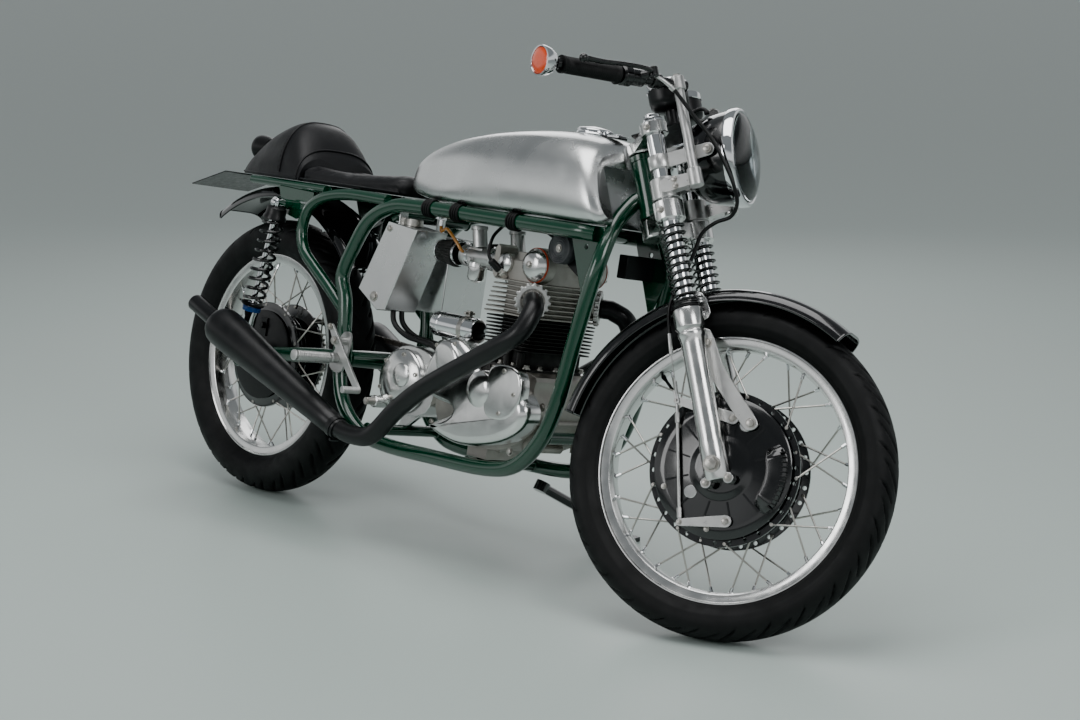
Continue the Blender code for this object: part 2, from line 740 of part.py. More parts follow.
def round_ring(centre_x, half_x, half_y, z, corner):
    ring = []
    cut = min(half_x, half_y) * corner
    for quarter in range(4):
        for part in (0, 1, 2):
            angle = math.pi / 2 * (quarter + part / 2)
            sign_x = 1 if quarter in (0, 3) else -1
            sign_y = 1 if quarter in (0, 1) else -1
            ring.append(Vector((centre_x + sign_x * (half_x - cut) + cut * math.cos(angle),
                                sign_y * (half_y - cut) + cut * math.sin(angle), z)))
    return ring


def finned(centre_x, core, fin, z_from, z_to, count):
    rings = [round_ring(centre_x, *core, z_from, corner_share)]
    pitch = (z_to - z_from) / count
    for k in range(count):
        base = z_from + pitch * k
        rings.append(round_ring(centre_x, *core, base + pitch * (1 - fin_share) / 2, corner_share))
        rings.append(round_ring(centre_x, *fin, base + pitch * (1 - fin_share) / 2, corner_share))
        rings.append(round_ring(centre_x, *fin, base + pitch * (1 + fin_share) / 2, corner_share))
        rings.append(round_ring(centre_x, *core, base + pitch * (1 + fin_share) / 2, corner_share))
    rings.append(round_ring(centre_x, *core, z_to, corner_share))
    return rings


barrel_rings = [round_ring(barrel_x, *barrel_base, crank_top + gap, corner_share),
                round_ring(barrel_x, *barrel_base, crank_top + barrel_base_height, corner_share)]
barrel_rings += finned(barrel_x, barrel_core, barrel_fin, crank_top + barrel_base_height + gap,
                       barrel_top, barrel_fins)
put("cylinder_barrel", loft(barrel_rings), fin_black, bike)

port_splay = math.radians(38)
port_x = 0.912
port_y = 0.070
port_radius = 0.030
port_reach = 0.048
intake_radius = 0.022
intake_y = 0.055
intake_z = 0.642
intake_rear = 0.795
rocker_half = (0.062, 0.082)
rocker_top = 0.672
rocker_dome_radius = 0.034
rocker_dome_out = 0.104
rocker_dome_x = 0.930
rocker_dome_z = 0.652
port_z = (barrel_top + head_top) / 2
head = [loft(finned(barrel_x, head_core, head_fin, barrel_top + gap, head_top, head_fins)),
        loft([round_ring(barrel_x, *rocker_half, head_top - fuse_depth, corner_share),
              round_ring(barrel_x, *rocker_half, rocker_top - cover_dome, corner_share),
              round_ring(barrel_x, *[h * cover_bevel_share for h in rocker_half], rocker_top, corner_share)])]
port_aim = Vector((math.cos(port_splay), math.sin(port_splay), 0))
port_face = {}
for name, side in sides:
    turn_out = Vector((port_aim.x, side * port_aim.y, 0))
    start = Vector((port_x, side * port_y, port_z)) - turn_out * port_radius
    port_face[side] = start + turn_out * (port_reach + port_radius)
    head.append(rod(start, port_face[side], port_radius, 16))
    head.append(rod((barrel_x, side * intake_y, intake_z),
                    (intake_rear, side * intake_y, intake_z), intake_radius, 12))
    dome = [(rocker_dome_radius, 0), (rocker_dome_radius, rocker_dome_out * 0.12),
            (rocker_dome_radius * 0.8, rocker_dome_out * 0.27), (0, rocker_dome_out * 0.34)]
    head.append(turned(dome, 16, aim((rocker_dome_x, side * rocker_dome_out * 0.66, rocker_dome_z),
                                     (rocker_dome_x + rocker_dome_out * 0.4, side * rocker_dome_out * 1.66,
                                      rocker_dome_z))))
put("cylinder_head", fuse(head), cast_alloy, bike)

# Carburettors with cone filters behind them
carb_body = 0.024
carb_rear = 0.662
filter_rear = 0.596
filter_wide = 0.031
filter_slim = 0.024
bowl_x = 0.722
bowl_radius = 0.021
bowl_low = 0.588
tower_radius = 0.017
tower_top = 0.708
tower_lean = 0.012
for name, side in sides:
    y = side * intake_y
    carb = [rod((intake_rear - gap, y, intake_z), (carb_rear, y, intake_z), carb_body, 14),
            rod((carb_rear + fuse_depth, y, intake_z), (filter_rear, y, intake_z), filter_wide, 14,
                filter_slim),
            rod((bowl_x, y, intake_z), (bowl_x, y, bowl_low), bowl_radius, 12),
            rod((bowl_x, y, intake_z), (bowl_x - tower_lean, y, tower_top), tower_radius, 12)]
    put("carburettor_" + name, fuse(carb), brushed_alloy, bike)

# Exhaust: each pipe runs from its port down past the covers and back to a tapered silencer
pipe_radius = 0.0205
pipe_route_right = (
    # forward, outward, upward from the port's face
    (0.000, 0.000, 0.000), (0.034, 0.030, -0.018), (0.032, 0.055, -0.062),
    (-0.010, 0.066, -0.096), (-0.105, 0.071, -0.152), (-0.215, 0.072, -0.217), (-0.290, 0.072, -0.275),
    (-0.338, 0.073, -0.325), (-0.372, 0.075, -0.346), (-0.425, 0.078, -0.349), (-0.468, 0.082, -0.342))
silencer_length = 0.580
silencer_rise = math.radians(20.6)
silencer_toe = math.radians(4.5)
silencer_profile_shares = ((0.0, 0.50), (0.05, 0.54), (0.10, 0.56), (0.70, 0.98), (0.78, 1.0), (0.815, 0.93),
                           (0.835, 0.72), (0.84, 0.42), (1.0, 0.42))
silencer_radius = 0.046
for name, side in sides:
    start = port_face[side] + Vector((port_aim.x, side * port_aim.y, 0)) * gap
    route = [start + Vector((x, side * y, z)) for x, y, z in pipe_route_right]
    straight = Vector((port_aim.x, side * port_aim.y, 0)) * pipe_radius
    pipe = [sweep([start] + smooth([start + straight] + [point + straight / 2 for point in route[1:]], 2),
                  pipe_radius, 12)]
    end = route[-1] + straight / 2
    along = Vector((-math.cos(silencer_rise) * math.cos(silencer_toe),
                    side * math.cos(silencer_rise) * math.sin(silencer_toe), math.sin(silencer_rise)))
    back = end - along * (fuse_depth * 4)
    profile = [(silencer_radius * wide, silencer_length * far) for far, wide in silencer_profile_shares]
    pipe.append(turned(profile, 20, aim(back, back + along)))
    put("exhaust_" + name, fuse(pipe), black_coating, bike)

# Oil tank on the right and battery box on the left, both hung from the frame's cross tube
oil_outline_shares = ((0.42, 1.0), (1.0, 0.95), (0.58, 0.02), (0.42, 0.0), (0.0, 0.20))
oil_rear = 0.412
oil_length = 0.172
oil_low = 0.492
oil_height = 0.196
oil_in = 0.030
oil_out = 0.118
box_low = 0.500
box_height = 0.170
box_front = 0.575
box_rear = 0.440
box_half_from = -0.010
box_half_to = 0.108
hang_wall = 0.004
hang_half = 0.012


def bevelled(mesh, width, segments=2):
    work = bmesh.new()
    work.from_mesh(mesh)
    edges = [e for e in work.edges if e.calc_face_angle(0) > math.radians(40)]
    bmesh.ops.bevel(work, geom=edges, offset=width, segments=segments, affect="EDGES", profile=0.5)
    work.to_mesh(mesh)
    work.free()
    return mesh


hang_cross = loop_place(*cross_share_places[0][:2])
oil_outline = [(oil_rear + oil_length * x, oil_low + oil_height * z) for x, z in oil_outline_shares]
oil_tank = fuse([bevelled(slab(oil_outline, -oil_out, -oil_in), 0.010),
                 box((hang_cross.x + cross_radius + gap, -oil_out + hang_half,
                      oil_low + oil_height - hang_half),
                     (hang_cross.x + cross_radius + gap + hang_wall, -oil_out + 3 * hang_half,
                      hang_cross.z + hang_half))])
put("oil_tank", oil_tank, polished_alloy, bike)
battery_box = fuse([bevelled(box((box_rear, box_half_from, box_low),
                                 (box_front, box_half_to, box_low + box_height)), 0.006),
                    box((hang_cross.x + cross_radius + gap, box_half_from + hang_half,
                         box_low + box_height - hang_half),
                        (hang_cross.x + cross_radius + gap + hang_wall, box_half_from + 3 * hang_half,
                         hang_cross.z + hang_half))])
put("battery_box", battery_box, brushed_alloy, bike)

# Dynamo behind the barrel, lying along the crankcase top
dynamo_radius = 0.027
dynamo_rear = 0.625
dynamo_front = 0.765
dynamo_y = -0.060
dynamo_z = 0.487
dynamo = fuse([rod((dynamo_rear, dynamo_y, dynamo_z), (dynamo_front, dynamo_y, dynamo_z), dynamo_radius, 16),
               box((dynamo_front - 3 * hang_half, dynamo_y - hang_half, crank_top + gap),
                   (dynamo_front - hang_half, dynamo_y + hang_half, dynamo_z))])
put("dynamo", dynamo, chrome, bike)

# Fuel tank: cross-sections from the tail to the front face, which lies along the steering axis
tank_sections = (
    # along, half width, low, high as shares
    (0.000, 0.42, 0.20, 0.36), (0.020, 0.62, 0.10, 0.48), (0.080, 0.76, 0.04, 0.64), (0.220, 0.90, 0.00, 0.80),
    (0.400, 0.98, 0.00, 0.92), (0.600, 1.00, 0.00, 0.99), (0.780, 1.00, 0.00, 1.00), (0.900, 0.99, 0.00, 0.97),
    (0.970, 0.95, 0.02, 0.91), (1.000, 0.84, 0.08, 0.82))
tank_rear = 0.500
tank_length = 0.625
tank_low = frame_bottom + frame_height + frame_tube + gap
tank_height = 0.180
tank_half = 0.142
tank_behind_axis = 0.028
tank_notch_half = 0.090
tank_notch_behind = 0.078
tank_notch_top = 0.862
tank_head_clear = 0.037
tank_section_shares = ((0.0, 0.0), (0.70, 0.0), (0.93, 0.05), (1.0, 0.22), (0.99, 0.45), (0.90, 0.72),
                       (0.66, 0.92), (0.34, 0.99), (0.0, 1.0))


def tank_ring(along, wide, low, high):
    ring = []
    points = [(y, z) for y, z in tank_section_shares]
    points += [(-y, z) for y, z in tank_section_shares[-2:0:-1]]
    for y, z in points:
        height = tank_low + tank_height * (low + (high - low) * z)
        face_x = wheelbase + trail - (tank_behind_axis + height * math.sin(rake)) / math.cos(rake)
        full_x = face_x - tank_rear
        straight = tank_rear + tank_length * along
        slanted = tank_rear + full_x * along
        blend = along ** 3
        ring.append(Vector((straight * (1 - blend) + slanted * blend, y * tank_half * wide, height)))
    return ring


notch_low = tank_low - fuse_depth
notch_back = [wheelbase + trail - (tank_notch_behind + z * math.sin(rake)) / math.cos(rake)
              for z in (notch_low, tank_notch_top)]
notch = [slab(((notch_back[0], notch_low), (wheelbase, notch_low), (wheelbase, tank_notch_top),
               (notch_back[1], tank_notch_top)), -tank_notch_half, tank_notch_half),
         rod(steered(0, 0, head_low), steered(0, 0, head_high + head_low), tank_head_clear, 20)]
fuel_tank = fuse([loft([tank_ring(*row) for row in tank_sections])], notch)
pad_radius = 0.018
put("fuel_tank", fuel_tank, brushed_alloy, bike)

# Filler cap and the strap that holds the tank down
cap_x = 0.955
cap_radius = 0.036
cap_height = 0.012
strap_half = 0.013
strap_wall = 0.0025
cap_z = tank_low + tank_height + gap
put("filler_cap", fuse([rod((cap_x, 0, cap_z), (cap_x, 0, cap_z + cap_height), cap_radius, 20),
                        rod((cap_x, 0, cap_z + cap_height - gap), (cap_x, 0, cap_z + cap_height * 1.6),
                            cap_radius * 0.8, 20, cap_radius * 0.6)]), chrome, bike)

# Seat: cushion, and the hump with its tail behind it
seat_front = tank_rear - gap
seat_rear = 0.135
seat_half = 0.118
seat_height = 0.046
hump_top = 0.885
hump_tail = -0.200
hump_gap = gap
cushion_rings = []
for along, wide, high in ((0.0, 0.96, 0.86), (0.12, 1.0, 0.72), (0.45, 1.0, 0.66), (0.8, 0.94, 0.86), (0.97, 0.82, 1.0),
                          (1.0, 0.74, 0.8)):
    ring = []
    for y, z in ((-1, 0), (1, 0), (1, 0.6), (0.9, 0.9), (0.55, 1), (-0.55, 1), (-0.9, 0.9), (-1, 0.6)):
        ring.append(Vector((seat_rear + (seat_front - seat_rear) * along, seat_half * wide * y,
                            seat_bottom + seat_height * high * z)))
    cushion_rings.append(ring)
put("seat_cushion", loft(cushion_rings), seat_leather, bike)
hump_rings = []
for along, wide, high in ((0.0, 0.98, 0.46), (0.10, 0.98, 0.80), (0.20, 0.96, 0.98), (0.32, 0.92, 1.0), (0.55, 0.80, 0.78),
                          (0.80, 0.56, 0.42), (1.0, 0.26, 0.15)):
    ring = []
    for k in range(9):
        angle = math.pi * k / 8
        ring.append(Vector((seat_rear - hump_gap + (hump_tail - seat_rear) * along,
                            seat_half * wide * math.copysign(abs(math.cos(angle)) ** 0.7, math.cos(angle)),
                            seat_bottom + (hump_top - seat_bottom) * high * math.sin(angle) ** 0.8)))
    hump_rings.append(ring)
put("seat_hump", loft(hump_rings), seat_leather, bike)

# Rear mudguard under the seat, its lamp and plate
guard_wall = 0.0025
guard_half = 0.066
guard_drop = 0.026
rear_guard_from = math.radians(38)
rear_guard_to = math.radians(126)
guard_share = ((0.0, 0.0), (0.5, 0.02), (0.8, 0.22), (0.95, 0.6), (1.0, 1.0))


def guard_section(half, drop, wall):
    outer = [(-drop * fall, half * y) for y, fall in guard_share]
    outer = [(r, -y) for r, y in outer[:0:-1]] + outer
    inner = [(r - wall, y * (half - wall) / half) for r, y in outer]
    return outer + inner[::-1]


rear_cross = Vector((seat_rail_rear + seat_rail_tube, 0, rear_cross_z))
rear_guard_radius = math.hypot(rear_cross.x, rear_cross.z - rear_tyre_radius) - seat_rail_tube * 0.9 - gap
put("rear_mudguard", arch(guard_section(guard_half, guard_drop, guard_wall), rear_guard_radius,
                          rear_guard_from, rear_guard_to, 12, (0, 0, rear_tyre_radius)), black_enamel, bike)
lamp_x = -0.168
lamp_z = 0.812
lamp_radius = 0.030
lamp_length = 0.050
tail_wall = 0.003
plate_half = 0.085
plate_front = -0.150
plate_bend = -0.200
plate_end = (-0.335, 0.702)
plate_z = seat_bottom - gap
tail_outline = ((plate_front, plate_z), (plate_bend, plate_z), plate_end, (plate_end[0], plate_end[1] - tail_wall),
                (plate_bend, plate_z - tail_wall), (plate_front, plate_z - tail_wall))
put("number_plate", slab(tail_outline, -plate_half, plate_half), black_plastic, bike)
hump_seat = loft(hump_rings)
hump_seat.transform(Matrix.Translation((0, 0, gap)))
put("tail_lamp", fuse([rod((lamp_x + lamp_length / 2, 0, lamp_z), (lamp_x - lamp_length / 2, 0, lamp_z),
                           lamp_radius * 0.8, 16, lamp_radius)], [hump_seat]), black_plastic, bike)

# Footrests with their levers
rest_x = 0.402
rest_z = 0.372
rest_radius = 0.011
rest_from = 0.150
rest_to = 0.262
hanger_wall = 0.006
hanger_y = frame_half + frame_tube + gap
lever_points = ((0.030, 0.048), (0.075, -0.010), (0.138, -0.060), (0.132, -0.072), (0.070, -0.030), (0.010, 0.016),
                (-0.026, 0.004), (-0.020, -0.024), (0.012, -0.020), (0.028, -0.002))
for name, side in sides:
    outline = ((rest_x - 0.02, rest_z - 0.02), (rest_x + 0.02, rest_z - 0.024),
               (rest_x + 0.036, rest_z + 0.052), (rest_x + 0.012, rest_z + 0.056))
    rest = [slab(outline, side * hanger_y, side * (hanger_y + hanger_wall)),
            rod((rest_x, side * (hanger_y + hanger_wall - fuse_depth), rest_z), (rest_x, side * rest_to, rest_z),
                rest_radius, 12),
            rod((rest_x + 0.02, side * (hanger_y + fuse_depth), rest_z + 0.04),
                (rest_x + 0.02, side * (hanger_y + 0.034), rest_z + 0.04), rest_radius * 0.8, 8),
            rod((rest_x + 0.02, side * (hanger_y + 0.028), rest_z + 0.04),
                (rest_x + 0.115, side * (hanger_y + 0.028), rest_z - 0.055), rest_radius * 0.6, 8),
            rod((rest_x + 0.115, side * (hanger_y + 0.022), rest_z - 0.055),
                (rest_x + 0.115, side * (hanger_y + 0.075), rest_z - 0.055), rest_radius * 0.7, 8)]
    put("footrest_" + name, fuse(rest), brushed_alloy, bike)

# Horn on the right of the rocker box, and the black regulator between the down tubes
horn_centre = Vector((1.004, -0.078, 0.688))
horn_radius = 0.031
horn_depth = 0.026
horn_back = (0.018, 0.004, 0.022)
rail_point = loop_place(0.815, 1.0, 1.0)
put("horn", fuse([rod(horn_centre, horn_centre + Vector((0, -horn_depth, 0)), horn_radius, 20),
                  box((horn_centre.x - hang_half, horn_centre.y - hang_wall, horn_centre.z),
                      (horn_centre.x + hang_half, horn_centre.y + hang_wall,
                       loop_place(*cross_share_places[2][:2]).z - cross_radius - gap))]), black_plastic, bike)
regulator_half = (0.012, 0.040, 0.024)
regulator_x = 1.076
regulator_z = 0.670
regulator_to = gusset_from - gap
put("regulator", fuse([box((regulator_x - regulator_half[0], regulator_to - 2 * regulator_half[1],
                            regulator_z - regulator_half[2]),
                           (regulator_x + regulator_half[0], regulator_to, regulator_z + regulator_half[2]))]),
    black_plastic, bike)

# Final drive chain: a band around both sprockets, clear of them by the running gap
chain_half = 0.0065
chain_height = 0.012
chain_steps = 10


def chain_ring(offset):
    lead = Vector((gearbox_x, front_sprocket_z)) - Vector((0, rear_tyre_radius))
    tilt = math.atan2(lead.y, lead.x)
    open_angle = math.acos((sprocket_radius - front_sprocket) / lead.length)
    ring = []
    for centre, radius, angle_from, angle_to in (
            (Vector((0, rear_tyre_radius)), sprocket_radius, tilt + open_angle, tilt + math.tau - open_angle),
            (Vector((gearbox_x, front_sprocket_z)), front_sprocket, tilt - open_angle, tilt + open_angle)):
        for k in range(chain_steps + 1):
            angle = angle_from + (angle_to - angle_from) * k / chain_steps
            reach = (radius + running_gap + offset) / math.cos((angle_to - angle_from) / chain_steps / 2)
            ring.append((centre.x + reach * math.cos(angle), centre.y + reach * math.sin(angle)))
    return ring


inner, outer = chain_ring(0), chain_ring(chain_height)
count = len(inner)
chain_points = [Vector((x, y, z)) for y in (sprocket_y - chain_half, sprocket_y + chain_half)
                for ring in (inner, outer) for x, z in ring]
chain_faces = []
for k in range(count):
    after = (k + 1) % count
    for a, b in ((0, 1), (1, 3), (3, 2), (2, 0)):
        chain_faces.append((a * count + k, a * count + after, b * count + after, b * count + k))
put("drive_chain", solid(chain_points, chain_faces), steel, bike)

# Steering parts are in the steering axis's own frame: x ahead of the axis, z along it
stanchion_radius = 0.018
slider_wide = 0.029
slider_top = 0.305
slider_collar = 0.262
slider_foot = 0.030
fork_spring_radius = 0.028
fork_spring_from = 0.312
fork_spring_to = 0.478
fork_coils = 8
lower_yoke_from = 0.482
lower_yoke_to = 0.520
top_yoke_from = 0.658
top_yoke_to = 0.682
cap_top = 0.700
fork_facets = 12
fork_cap = 0.020


def leg(side, along, x=0, y=0):
    return Vector((fork_offset + x, side * (leg_spread + y), axle_along + along))


bore_radius = (stanchion_radius + gap) / math.cos(math.pi / fork_facets)
bores = [rod(leg(side, 0), leg(side, 1), bore_radius, fork_facets) for name, side in sides]
front_axle_hole = rod(leg(right, 0, 0, 1), leg(left, 0, 0, 1), (axle_radius + gap) / math.cos(math.pi / 12),
                      axle_facets)
pinch_radius = 0.010
pinch_x = 0.022
for name, side in sides:
    slider_profile = [(slider_radius, -slider_foot), (slider_radius, slider_collar),
                      (slider_wide, slider_collar + fuse_depth * 2), (slider_wide, slider_top)]
    slider = [turned(slider_profile, 18, aim(leg(side, 0), leg(side, 1))),
              rod(leg(side, -slider_foot, pinch_x, -slider_radius / 2),
                  leg(side, -slider_foot, pinch_x, slider_radius / 2), pinch_radius, 10),
              rod(leg(side, -slider_foot, -pinch_x, -slider_radius / 2),
                  leg(side, -slider_foot, -pinch_x, slider_radius / 2), pinch_radius, 10)]
    put("fork_slider_" + name, fuse(slider, [front_axle_hole.copy()]), polished_alloy, steering_turn)
    spring_pitch = (fork_spring_to - fork_spring_from) / fork_coils
    tube_profile = [(stanchion_radius, slider_top + gap), (stanchion_radius, fork_spring_from)]
    for k in range(fork_coils):
        tube_profile.append((fork_spring_radius, fork_spring_from + spring_pitch * (k + 0.4)))
        tube_profile.append((stanchion_radius + fuse_depth, fork_spring_from + spring_pitch * (k + 0.9)))
    tube_profile += [(stanchion_radius, fork_spring_to), (stanchion_radius, top_yoke_to + gap),
                     (fork_cap, top_yoke_to + gap), (fork_cap, cap_top - fuse_depth),
                     (fork_cap * 0.8, cap_top)]
    put("fork_tube_" + name, turned(tube_profile, fork_facets, aim(leg(side, 0), leg(side, 1))),
        chrome, steering_turn)
front_end = leg_spread + slider_radius + gap
front_axle = [rod(leg(right, 0, 0, slider_radius + fuse_depth), leg(left, 0, 0, slider_radius + fuse_depth),
                  axle_radius, axle_facets)]
for name, side in sides:
    front_axle.append(rod(leg(side, 0, 0, slider_radius + gap), leg(side, 0, 0, slider_radius + nut_wall),
                          nut_radius, 6))
put("front_axle", fuse(front_axle), steel, steering_turn, leg(right, 0, 0, -leg_spread))

# Yokes: a lug round each tube, arms and a boss on the steering axis
yoke_lug = 0.030
yoke_boss = 0.030
yoke_arm_half = 0.019
top_lug = 0.027
stem_gap = gap


def yoke(low, high, lug):
    parts = [rod((0, 0, axle_along + low), (0, 0, axle_along + high), yoke_boss, 18)]
    for name, side in sides:
        start = leg(side, low)
        parts.append(rod(start, leg(side, high), lug, 18))
        far = Vector((fork_offset, side * leg_spread, 0))
        lean_angle = math.atan2(far.y, far.x)
        place = Matrix.Rotation(lean_angle, 4, "Z")
        parts.append(box((0, -yoke_arm_half, axle_along + low + fuse_depth),
                         (far.length, yoke_arm_half, axle_along + high - fuse_depth), place))
    return parts


stem_low = head_low - gap - axle_along
stem_high = head_high + gap - axle_along
lower = yoke(lower_yoke_from, lower_yoke_to, yoke_lug)
lower.append(rod((0, 0, axle_along + lower_yoke_to - fuse_depth), (0, 0, axle_along + stem_low), head_radius, 16))
put("lower_yoke", fuse(lower, [b.copy() for b in bores]), polished_alloy, steering_turn,
    (0, 0, axle_along + lower_yoke_to))
upper = yoke(top_yoke_from, top_yoke_to, top_lug)
put("top_yoke", fuse(upper, [b.copy() for b in bores]), polished_alloy, steering_turn,
    (0, 0, axle_along + top_yoke_from))

# Bars: a clamp on each fork tube, a post ahead of it and the bar with its grip, lever and lamp
clamp_from = 0.524
clamp_to = 0.566
clamp_radius = 0.027
post_x = 0.070
post_y = 0.0245
post_radius = 0.010
post_top = 0.750
bar_radius = 0.011
bar_end = Vector((-0.037, 0.360, 0.753))
bar_drop = 0.012
grip_radius = 0.0165
grip_from_share = 0.50
grip_to_share = 0.94
end_lamp_radius = 0.029
end_lamp_depth = 0.030
lever_ahead = 0.046
lever_radius = 0.006
for name, side in sides:
    post_low = leg(side, clamp_from + clamp_radius / 2, post_x, post_y)
    post_high = leg(side, post_top, post_x, post_y)
    bar_start = leg(side, post_top - bar_drop, post_x, post_y - bar_radius)
    bar_tip = Vector((bar_end.x, side * bar_end.y, axle_along + bar_end.z))
    along = bar_tip - bar_start
    bar = [rod(leg(side, clamp_from), leg(side, clamp_to), clamp_radius, 12),
           rod(leg(side, (clamp_from + clamp_to) / 2), (post_low + leg(side, (clamp_from + clamp_to) / 2,
                                                                      post_x, post_y)) / 2, clamp_radius / 2, 10),
           rod(post_low, post_high, post_radius, 12),
           rod(bar_start - along.normalized() * bar_radius, bar_tip, bar_radius, 12),
           rod(bar_start + along * grip_from_share, bar_start + along * grip_to_share, grip_radius, 10),
           rod(bar_tip - along.normalized() * fuse_depth, bar_tip + along.normalized() * end_lamp_depth,
               end_lamp_radius, 14, end_lamp_radius * 0.86)]
    perch = bar_start + along * 0.36
    ahead = Vector((lever_ahead, 0, 0)) + along.cross(Vector((0, 0, side))).normalized() * 0
    lever = smooth([perch, perch + ahead * 0.8 + along * 0.03, perch + ahead + along * 0.16,
                    perch + ahead * 0.95 + along * 0.56], 2)
    bar.append(sweep(lever, lever_radius, 6))
    bar.append(rod(perch - along * 0.05, perch + along * 0.05, grip_radius, 12))
    put("handlebar_" + name, fuse(bar, [b.copy() for b in bores]), black_coating, steering_turn)

# Instruments on a bracket over the top yoke
dial_radius = 0.041
dial_half = 0.046
dial_x = 0.085
dial_from = 0.722
dial_to = 0.772
dial_plate = 0.006
dial_plate_front = 0.105
dial_stem = 0.012
dials = [box((0, -dial_half - dial_stem, axle_along + top_yoke_to + gap),
             (dial_plate_front, dial_half + dial_stem, axle_along + top_yoke_to + gap + dial_plate))]
for name, side in sides:
    base = Vector((dial_x, side * dial_half, axle_along + top_yoke_to + dial_plate / 2))
    dials.append(rod(base, base + Vector((0, 0, dial_from - top_yoke_to)), dial_stem, 10))
    dials.append(rod((dial_x, side * dial_half, axle_along + dial_from),
                     (dial_x, side * dial_half, axle_along + dial_to), dial_radius, 20))
put("instruments", fuse(dials), black_plastic, steering_turn)

# Head lamp: a deep shell with a chromed rim, held by an ear and band on each fork tube
lamp_centre = Vector((0.188, 0, 0.600))
lamp_dip = math.radians(9)
shell_radius = 0.0975
shell_depth = 0.105
rim_front = 0.016
glass_bulge = 0.018
ear_from = 0.0985
ear_wall = 0.004
ear_half = 0.014
band_radius = 0.0225
shell_profile = [(0, -shell_depth), (shell_radius * 0.45, -shell_depth * 0.95),
                 (shell_radius * 0.78, -shell_depth * 0.72), (shell_radius * 0.94, -shell_depth * 0.38),
                 (shell_radius * 0.97, 0), (shell_radius, 0), (shell_radius, rim_front),
                 (shell_radius * 0.88, rim_front), (shell_radius * 0.6, rim_front + glass_bulge * 0.7),
                 (0, rim_front + glass_bulge)]
lamp_at = lamp_centre + Vector((0, 0, axle_along))
lamp_line = Vector((math.cos(lamp_dip), 0, -math.sin(lamp_dip)))
lamp = [turned(shell_profile, 20, aim(lamp_at, lamp_at + lamp_line))]
for name, side in sides:
    bolt_x = lamp_at.x - shell_depth * 0.3
    lamp.append(box((leg(side, 0).x, side * ear_from if side > 0 else -ear_from - ear_wall,
                     lamp_at.z - ear_half),
                    (bolt_x + ear_half, ear_from + ear_wall if side > 0 else -ear_from, lamp_at.z + ear_half)))
    lamp.append(rod((bolt_x, side * shell_radius * 0.8, lamp_at.z),
                    (bolt_x, side * (ear_from + 2 * ear_wall), lamp_at.z), ear_half * 0.6, 8))
    lamp.append(rod(leg(side, lamp_centre.z - ear_half), leg(side, lamp_centre.z + ear_half), band_radius, 12))
put("head_lamp", fuse(lamp, [b.copy() for b in bores]), black_enamel, steering_turn)

# Front mudguard, with an alloy foot down to each slider
front_guard_half = 0.058
front_guard_radius = 0.348
front_guard_from = math.radians(60) - rake
front_guard_to = math.radians(173) - rake
foot_wall = 0.008
foot_x = 0.026
foot_from = 0.288
foot_to = 0.335
wheel_centre = Vector((fork_offset, 0, axle_along))
guard = [arch(guard_section(front_guard_half, guard_drop, guard_wall), front_guard_radius,
              front_guard_from, front_guard_to, 14, wheel_centre)]
for name, side in sides:
    inner = leg_spread - slider_wide - gap
    low, high = sorted((side * inner, side * (inner - foot_wall)))
    guard.append(box((fork_offset - foot_x, low, axle_along + foot_from),
                     (fork_offset + foot_x, high, axle_along + foot_to)))
put("front_mudguard", fuse(guard), black_enamel, steering_turn)

# Brake plate beside the front hub, with its scoop, cam levers and torque arm
brake_radius = 0.135
brake_gap = 0.0052
brake_wall = 0.010
brake_rise = 0.006
scoop_half = 0.026
scoop_rise = 0.014
scoop_x = 0.092
cam_radius = 0.008
cam_out = 0.010
cam_lever = 0.115
plate_in = -front_flange_half - brake_gap
plate_out = plate_in - brake_wall
torque_wall = 0.006


def beside(x, z, y):
    return Vector((fork_offset + x * math.cos(rake) + z * math.sin(rake), y,
                   axle_along - x * math.sin(rake) + z * math.cos(rake)))


plate_turn = aim(wheel_centre + Vector((0, plate_in, 0)), wheel_centre + Vector((0, plate_in - 1, 0)))
brake_profile = [(0, 0), (brake_radius, 0), (brake_radius, brake_wall * 0.5), (brake_radius * 0.9, brake_wall),
                 (brake_radius * 0.45, brake_wall), (brake_radius * 0.36, brake_wall + brake_rise),
                 (0, brake_wall + brake_rise)]
boss_y = -slider_inner + gap
brake = [turned(brake_profile, 24, plate_turn),
         rod(beside(0, 0, plate_in - brake_wall / 2), beside(0, 0, boss_y), nut_radius, 12)]
scoop = [(scoop_x - scoop_half, -0.055), (scoop_x + scoop_half * 0.6, -0.058), (scoop_x + scoop_half, 0.0),
         (scoop_x + scoop_half * 0.6, 0.058), (scoop_x - scoop_half, 0.055)]
brake.append(slab([tuple(beside(x, z, 0).xz) for x, z in scoop], plate_out + fuse_depth, plate_out - scoop_rise))
cam_places = ((0.001, 0.095, -0.115, 0.105), (0.035, -0.096, -0.052, -0.118))
for x, z, far_x, far_z in cam_places:
    brake.append(rod(beside(x, z, plate_out + fuse_depth), beside(x, z, plate_out - cam_out), cam_radius, 10))
    brake.append(rod(beside(x, z, plate_out - cam_out * 0.7), beside(far_x, far_z, plate_out - cam_out * 0.7),
                     cam_radius * 0.55, 8))
brake_rod_y = plate_out - cam_out * 0.7
brake.append(rod(beside(cam_places[0][2], cam_places[0][3], brake_rod_y),
                 beside(cam_places[1][2], cam_places[1][3], brake_rod_y), cam_radius * 0.5, 8))
put("brake_plate", fuse(brake, [front_axle_hole.copy()]), black_enamel, steering_turn)

